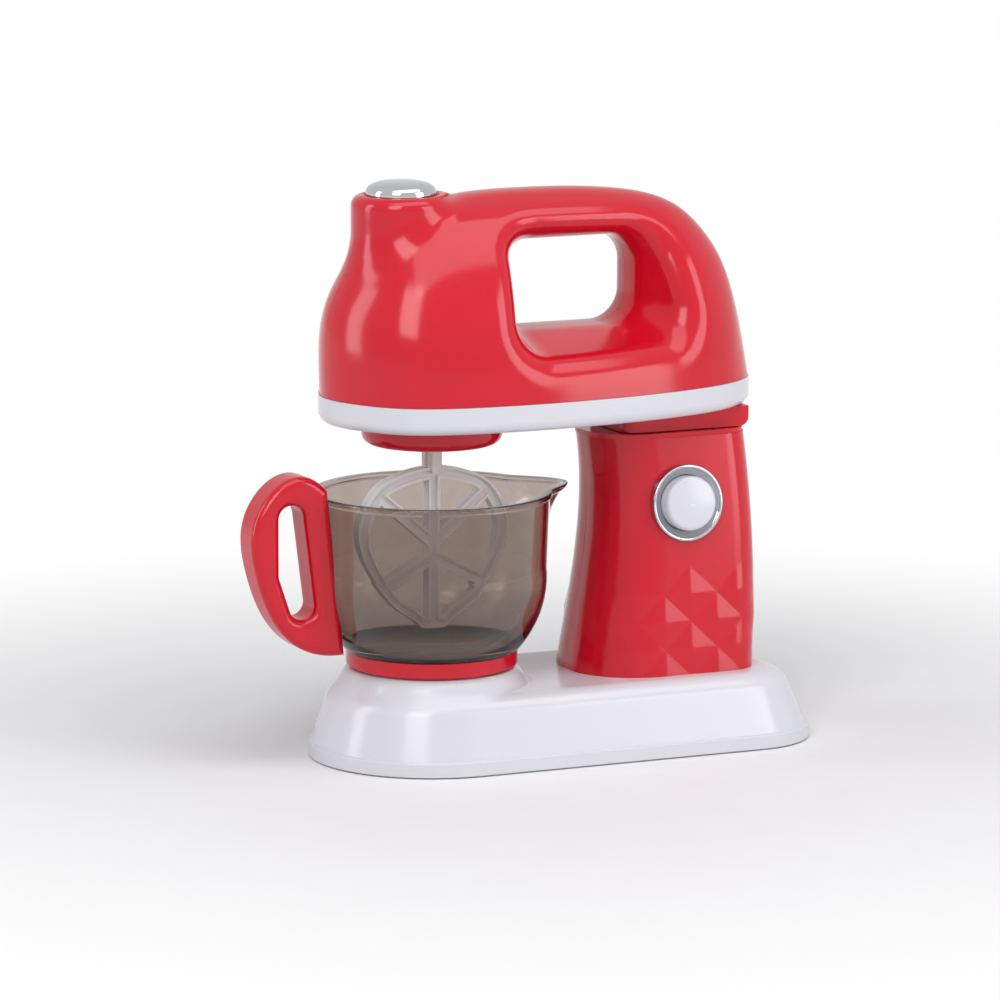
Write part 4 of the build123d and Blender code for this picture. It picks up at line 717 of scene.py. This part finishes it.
def arc_through(first, middle, last, steps):
    """Points on the circle through three places: its centre, as far from all three, solves two linear
    equations, and the angle runs evenly from the first place to the last."""
    corners = np.array([first, middle, last])
    square = (corners**2).sum(axis=-1)
    centre = np.linalg.solve(2 * (corners[1:] - corners[0]), square[1:] - square[0])
    spread = corners - centre
    ends = np.unwrap(np.arctan2(spread[:, 1], spread[:, 0]))
    turn = np.linspace(ends[0], ends[2], steps)
    return centre + np.hypot(*spread[0]) * np.stack([np.cos(turn), np.sin(turn)], axis=-1)


bowl_low, bowl_height, bowl_wall, bowl_rim_radius = 37.6, 55.9, 1.8, 41.0
bowl_floor_radius, bowl_belly, bowl_shoulder = 30.0, (36.9, 10.4), (40.1, 29.2)
bead_height, bead_out, bead_under = 2.4, 0.9, 1.7
spout_reach, spout_drop, spout_half_turn = 9.6, 17.0, np.radians(27.0)
peg_shares, peg_radius, peg_reach = (0.3, 0.8), 2.2, 45.5


def bowl_side(inset):
    """One face of the wall from floor to rim, drawn in by an inset: an arc through floor edge, belly
    and shoulder, then a straight run with close rows up to the rim."""
    belly = bowl_belly[0] - inset, bowl_belly[1]
    shoulder = bowl_shoulder[0] - inset, bowl_shoulder[1]
    arc = arc_through((bowl_floor_radius - inset, inset), belly, shoulder, 40)
    share = np.linspace(0.0, 1.0, 60)[1:, None]
    rim = np.array([bowl_rim_radius - inset, bowl_height - bead_height])
    return np.concatenate([arc, arc[-1] + (rim - arc[-1]) * share])


def bowl_surface(columns=420):
    """Closed wall of the bowl: outer side up, bead over the rim, inner side down to the middle of the
    floor. Near one direction the rows are pushed out by a bell curve of the turn, times a rising power
    of the height."""
    inner_rim = bowl_rim_radius - bowl_wall
    bead_radius = bowl_rim_radius + bead_out
    bead = [
        (bowl_rim_radius, bowl_height - bead_height), (bead_radius, bowl_height - bead_under),
        (bead_radius, bowl_height), (inner_rim, bowl_height), (inner_rim, bowl_height - bead_height),
    ]
    profile = np.concatenate([
        [(0.0, 0.0)], bowl_side(0.0), soft_outline(bead, [0.4, 0.7, 0.8], steps=7)[1:-1],
        bowl_side(bowl_wall)[::-1], [(0.0, bowl_wall)],
    ])
    grid = turned(profile, columns)
    turn = np.arctan2(grid[..., 1], grid[..., 0])
    near = np.clip(1.0 - np.abs(turn) / spout_half_turn, 0.0, 1.0)
    climb = np.clip(1.0 - (bowl_height - grid[..., 2]) / spout_drop, 0.0, 1.0)
    push = spout_reach * near**2 * (3.0 - 2.0 * near) * climb**1.7
    grid[..., 0] += push * np.cos(turn)
    grid[..., 1] += push * np.sin(turn)
    return grid + np.array([bowl_x, 0.0, bowl_low])


smoked_clear = finish_of(
    "smoked_clear", (0.47, 0.40, 0.36), (0.44, 0.37, 0.33), 0.02, mottle=0.02, peel=0.006,
    Transmission_Weight=1.0, IOR=1.46,
)
jug = skin("bowl_jug", bowl_surface(), around=True)
pegs = []
for number, peg_share in enumerate(peg_shares):
    peg_high = bowl_low + peg_share * bowl_height
    peg_root = np.interp(peg_share * bowl_height, *bowl_side(0.0).T[::-1])
    peg_side = [(0.0, peg_root), (peg_radius, peg_root), (peg_radius, peg_reach), (0.0, peg_reach)]
    peg = turned(soft_outline(peg_side, [0.05, 0.4]), 40)
    peg = np.stack([bowl_x - peg[..., 2], peg[..., 0], peg_high + peg[..., 1]], axis=-1)
    pegs.append(skin(f"bowl_peg_{number + 1}", peg, around=True))
for piece in [jug] + pegs:
    piece.data.materials.append(smoked_clear)
    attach(piece, "bowl")
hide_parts("bowl")
dress(red_gloss, "bowl_foot", "bowl_handle")

# Beater: a flat paddle of milky plastic with raised, paler borders, moulded in one with its stem, which
# is pushed into the spindle's square socket.
border_begin, border_full = 0.0017, 0.0024
milky_plastic = finish_of(
    "milky_plastic", (0.90, 0.85, 0.87), (0.86, 0.81, 0.83), 0.26,
    Transmission_Weight=0.04, Subsurface_Weight=0.1,
)
tree = milky_plastic.node_tree
place = node_in(tree, "ShaderNodeTexCoord")
across = node_in(tree, "ShaderNodeSeparateXYZ")
tree.links.new(place.outputs["Object"], across.inputs["Vector"])
proud = node_in(tree, "ShaderNodeMath", operation="ABSOLUTE")
tree.links.new(across.outputs["Y"], proud.inputs[0])
border = node_in(tree, "ShaderNodeMapRange", interpolation_type="SMOOTHSTEP")
border.inputs["From Min"].default_value = border_begin
border.inputs["From Max"].default_value = border_full
tree.links.new(proud.outputs["Value"], border.inputs["Value"])
paler = node_in(tree, "ShaderNodeMix", data_type="RGBA")
paler.inputs["B"].default_value = (0.97, 0.94, 0.95, 1.0)
tree.links.new(border.outputs["Result"], paler.inputs["Factor"])
surface = next(node for node in tree.nodes if node.type == "GROUP")
tree.links.new(surface.outputs["Color"], paler.inputs["A"])
tree.links.new(paler.outputs["Result"], tree.nodes["Principled BSDF"].inputs["Base Color"])
dress(milky_plastic, "beater")

# Floor: a wide pale paper sheet that the mixer stands on. It keeps the shadow near the mixer and turns
# to plain white further out.
floor_reach, fade_begin, fade_full = 4000.0, 0.12, 0.42
floor_ends = [-floor_reach, floor_reach]
floor_grid = np.stack(np.meshgrid(floor_ends, floor_ends, [0.0]), axis=-1)


def white_rays(tree):
    """Mask of the rays that meet plain white: those of the camera, of mirrors and of clear pieces."""
    rays = node_in(tree, "ShaderNodeLightPath")
    seen = node_in(tree, "ShaderNodeMath", operation="MAXIMUM")
    seen_all = node_in(tree, "ShaderNodeMath", operation="MAXIMUM")
    tree.links.new(rays.outputs["Is Camera Ray"], seen.inputs[0])
    tree.links.new(rays.outputs["Is Glossy Ray"], seen.inputs[1])
    tree.links.new(seen.outputs["Value"], seen_all.inputs[0])
    tree.links.new(rays.outputs["Is Transmission Ray"], seen_all.inputs[1])
    return seen_all.outputs["Value"]


floor = skin("floor", floor_grid[:, :, 0])
floor_finish = bpy.data.materials.new("floor_sheet")
floor_finish.use_nodes = True
tree = floor_finish.node_tree
sheet = tree.nodes["Principled BSDF"]
sheet.inputs["Roughness"].default_value = 0.6
place = node_in(tree, "ShaderNodeTexCoord")
grain = node_in(tree, "ShaderNodeTexNoise")
grain.inputs["Scale"].default_value = 40.0
tone = node_in(tree, "ShaderNodeMix", data_type="RGBA")
tone.inputs["A"].default_value = (0.86, 0.86, 0.87, 1.0)
tone.inputs["B"].default_value = (0.89, 0.89, 0.90, 1.0)
tree.links.new(place.outputs["Object"], grain.inputs["Vector"])
tree.links.new(grain.outputs["Fac"], tone.inputs["Factor"])
tree.links.new(tone.outputs["Result"], sheet.inputs["Base Color"])
far = node_in(tree, "ShaderNodeVectorMath", operation="LENGTH")
fade = node_in(tree, "ShaderNodeMapRange", interpolation_type="SMOOTHSTEP")
fade.inputs["From Min"].default_value = fade_begin
fade.inputs["From Max"].default_value = fade_full
tree.links.new(place.outputs["Object"], far.inputs[0])
tree.links.new(far.outputs["Value"], fade.inputs["Value"])
share = node_in(tree, "ShaderNodeMath", operation="MULTIPLY")
tree.links.new(fade.outputs["Result"], share.inputs[0])
tree.links.new(white_rays(tree), share.inputs[1])
glow = node_in(tree, "ShaderNodeEmission")
glow.inputs["Color"].default_value = (1.0, 1.0, 1.0, 1.0)
blend = node_in(tree, "ShaderNodeMixShader")
tree.links.new(share.outputs["Value"], blend.inputs["Fac"])
tree.links.new(sheet.outputs["BSDF"], blend.inputs[1])
tree.links.new(glow.outputs["Emission"], blend.inputs[2])
tree.links.new(blend.outputs["Shader"], tree.nodes["Material Output"].inputs["Surface"])
floor.data.materials.append(floor_finish)

# Studio: white surroundings for the camera, mirrors and clear pieces, a soft fill from all round, and
# four soft boxes: key, fill, top and a strip at the nose's side.
world = bpy.data.worlds.new("studio")
bpy.context.scene.world = world
world.use_nodes = True
tree = world.node_tree
around = tree.nodes["Background"]
around.inputs["Color"].default_value = (0.92, 0.94, 1.0, 1.0)
around.inputs["Strength"].default_value = 0.28
white = node_in(tree, "ShaderNodeBackground")
white.inputs["Strength"].default_value = 1.0
blend = node_in(tree, "ShaderNodeMixShader")
tree.links.new(white_rays(tree), blend.inputs["Fac"])
tree.links.new(around.outputs["Background"], blend.inputs[1])
tree.links.new(white.outputs["Background"], blend.inputs[2])
tree.links.new(blend.outputs["Shader"], tree.nodes["World Output"].inputs["Surface"])


def soft_box(name, place, aim, size, watts):
    """Rectangular lamp at a place in metres, turned to face its aim."""
    lamp = bpy.data.lights.new(name, "AREA")
    lamp.shape = "RECTANGLE"
    lamp.size, lamp.size_y = size
    lamp.energy = watts
    holder = bpy.data.objects.new(name, lamp)
    holder.location = place
    holder.rotation_euler = (Vector(aim) - Vector(place)).to_track_quat("-Z", "Y").to_euler()
    bpy.context.scene.collection.objects.link(holder)


soft_box("key_box", (-0.70, -0.80, 0.80), (0.0, 0.0, 0.12), (0.5, 0.7), 5.2)
soft_box("fill_box", (0.85, -1.00, 0.45), (0.0, 0.0, 0.1), (0.6, 0.9), 6.0)
soft_box("top_box", (0.05, -0.35, 1.0), (0.0, 0.0, 0.15), (1.1, 0.6), 4.6)
soft_box("side_strip", (-1.0, 0.25, 0.45), (0.0, 0.0, 0.15), (0.25, 0.8), 2.4)

# Camera: a long lens a little above the mixer and to the left of its push button side. Its focal length
# is in pixels of a picture as wide as the sensor.
focal_pixels, picture_pixels = 6067.6, 1000.0
camera_place = (-0.8849, -1.8979, 0.4553)
lens = bpy.data.cameras.new("camera")
lens.sensor_width = 36.0
lens.lens = focal_pixels / picture_pixels * lens.sensor_width
lens.clip_end = 20.0
camera = bpy.data.objects.new("camera", lens)
yaw, pitch, roll = np.radians([24.475, 9.989, 0.167])
level = np.array([np.sin(yaw), np.cos(yaw), 0.0])
ahead = np.cos(pitch) * level - np.sin(pitch) * np.array([0.0, 0.0, 1.0])
above = np.sin(pitch) * level + np.cos(pitch) * np.array([0.0, 0.0, 1.0])
aside = np.array([np.cos(yaw), -np.sin(yaw), 0.0])
right = np.cos(roll) * aside + np.sin(roll) * above
upward = np.cos(roll) * above - np.sin(roll) * aside
facing = Matrix(np.stack([right, upward, -ahead], axis=1).tolist()).to_4x4()
facing.translation = Vector(camera_place)
camera.matrix_world = facing
bpy.context.scene.collection.objects.link(camera)
bpy.context.scene.camera = camera
bpy.context.scene.view_settings.view_transform = "Standard"
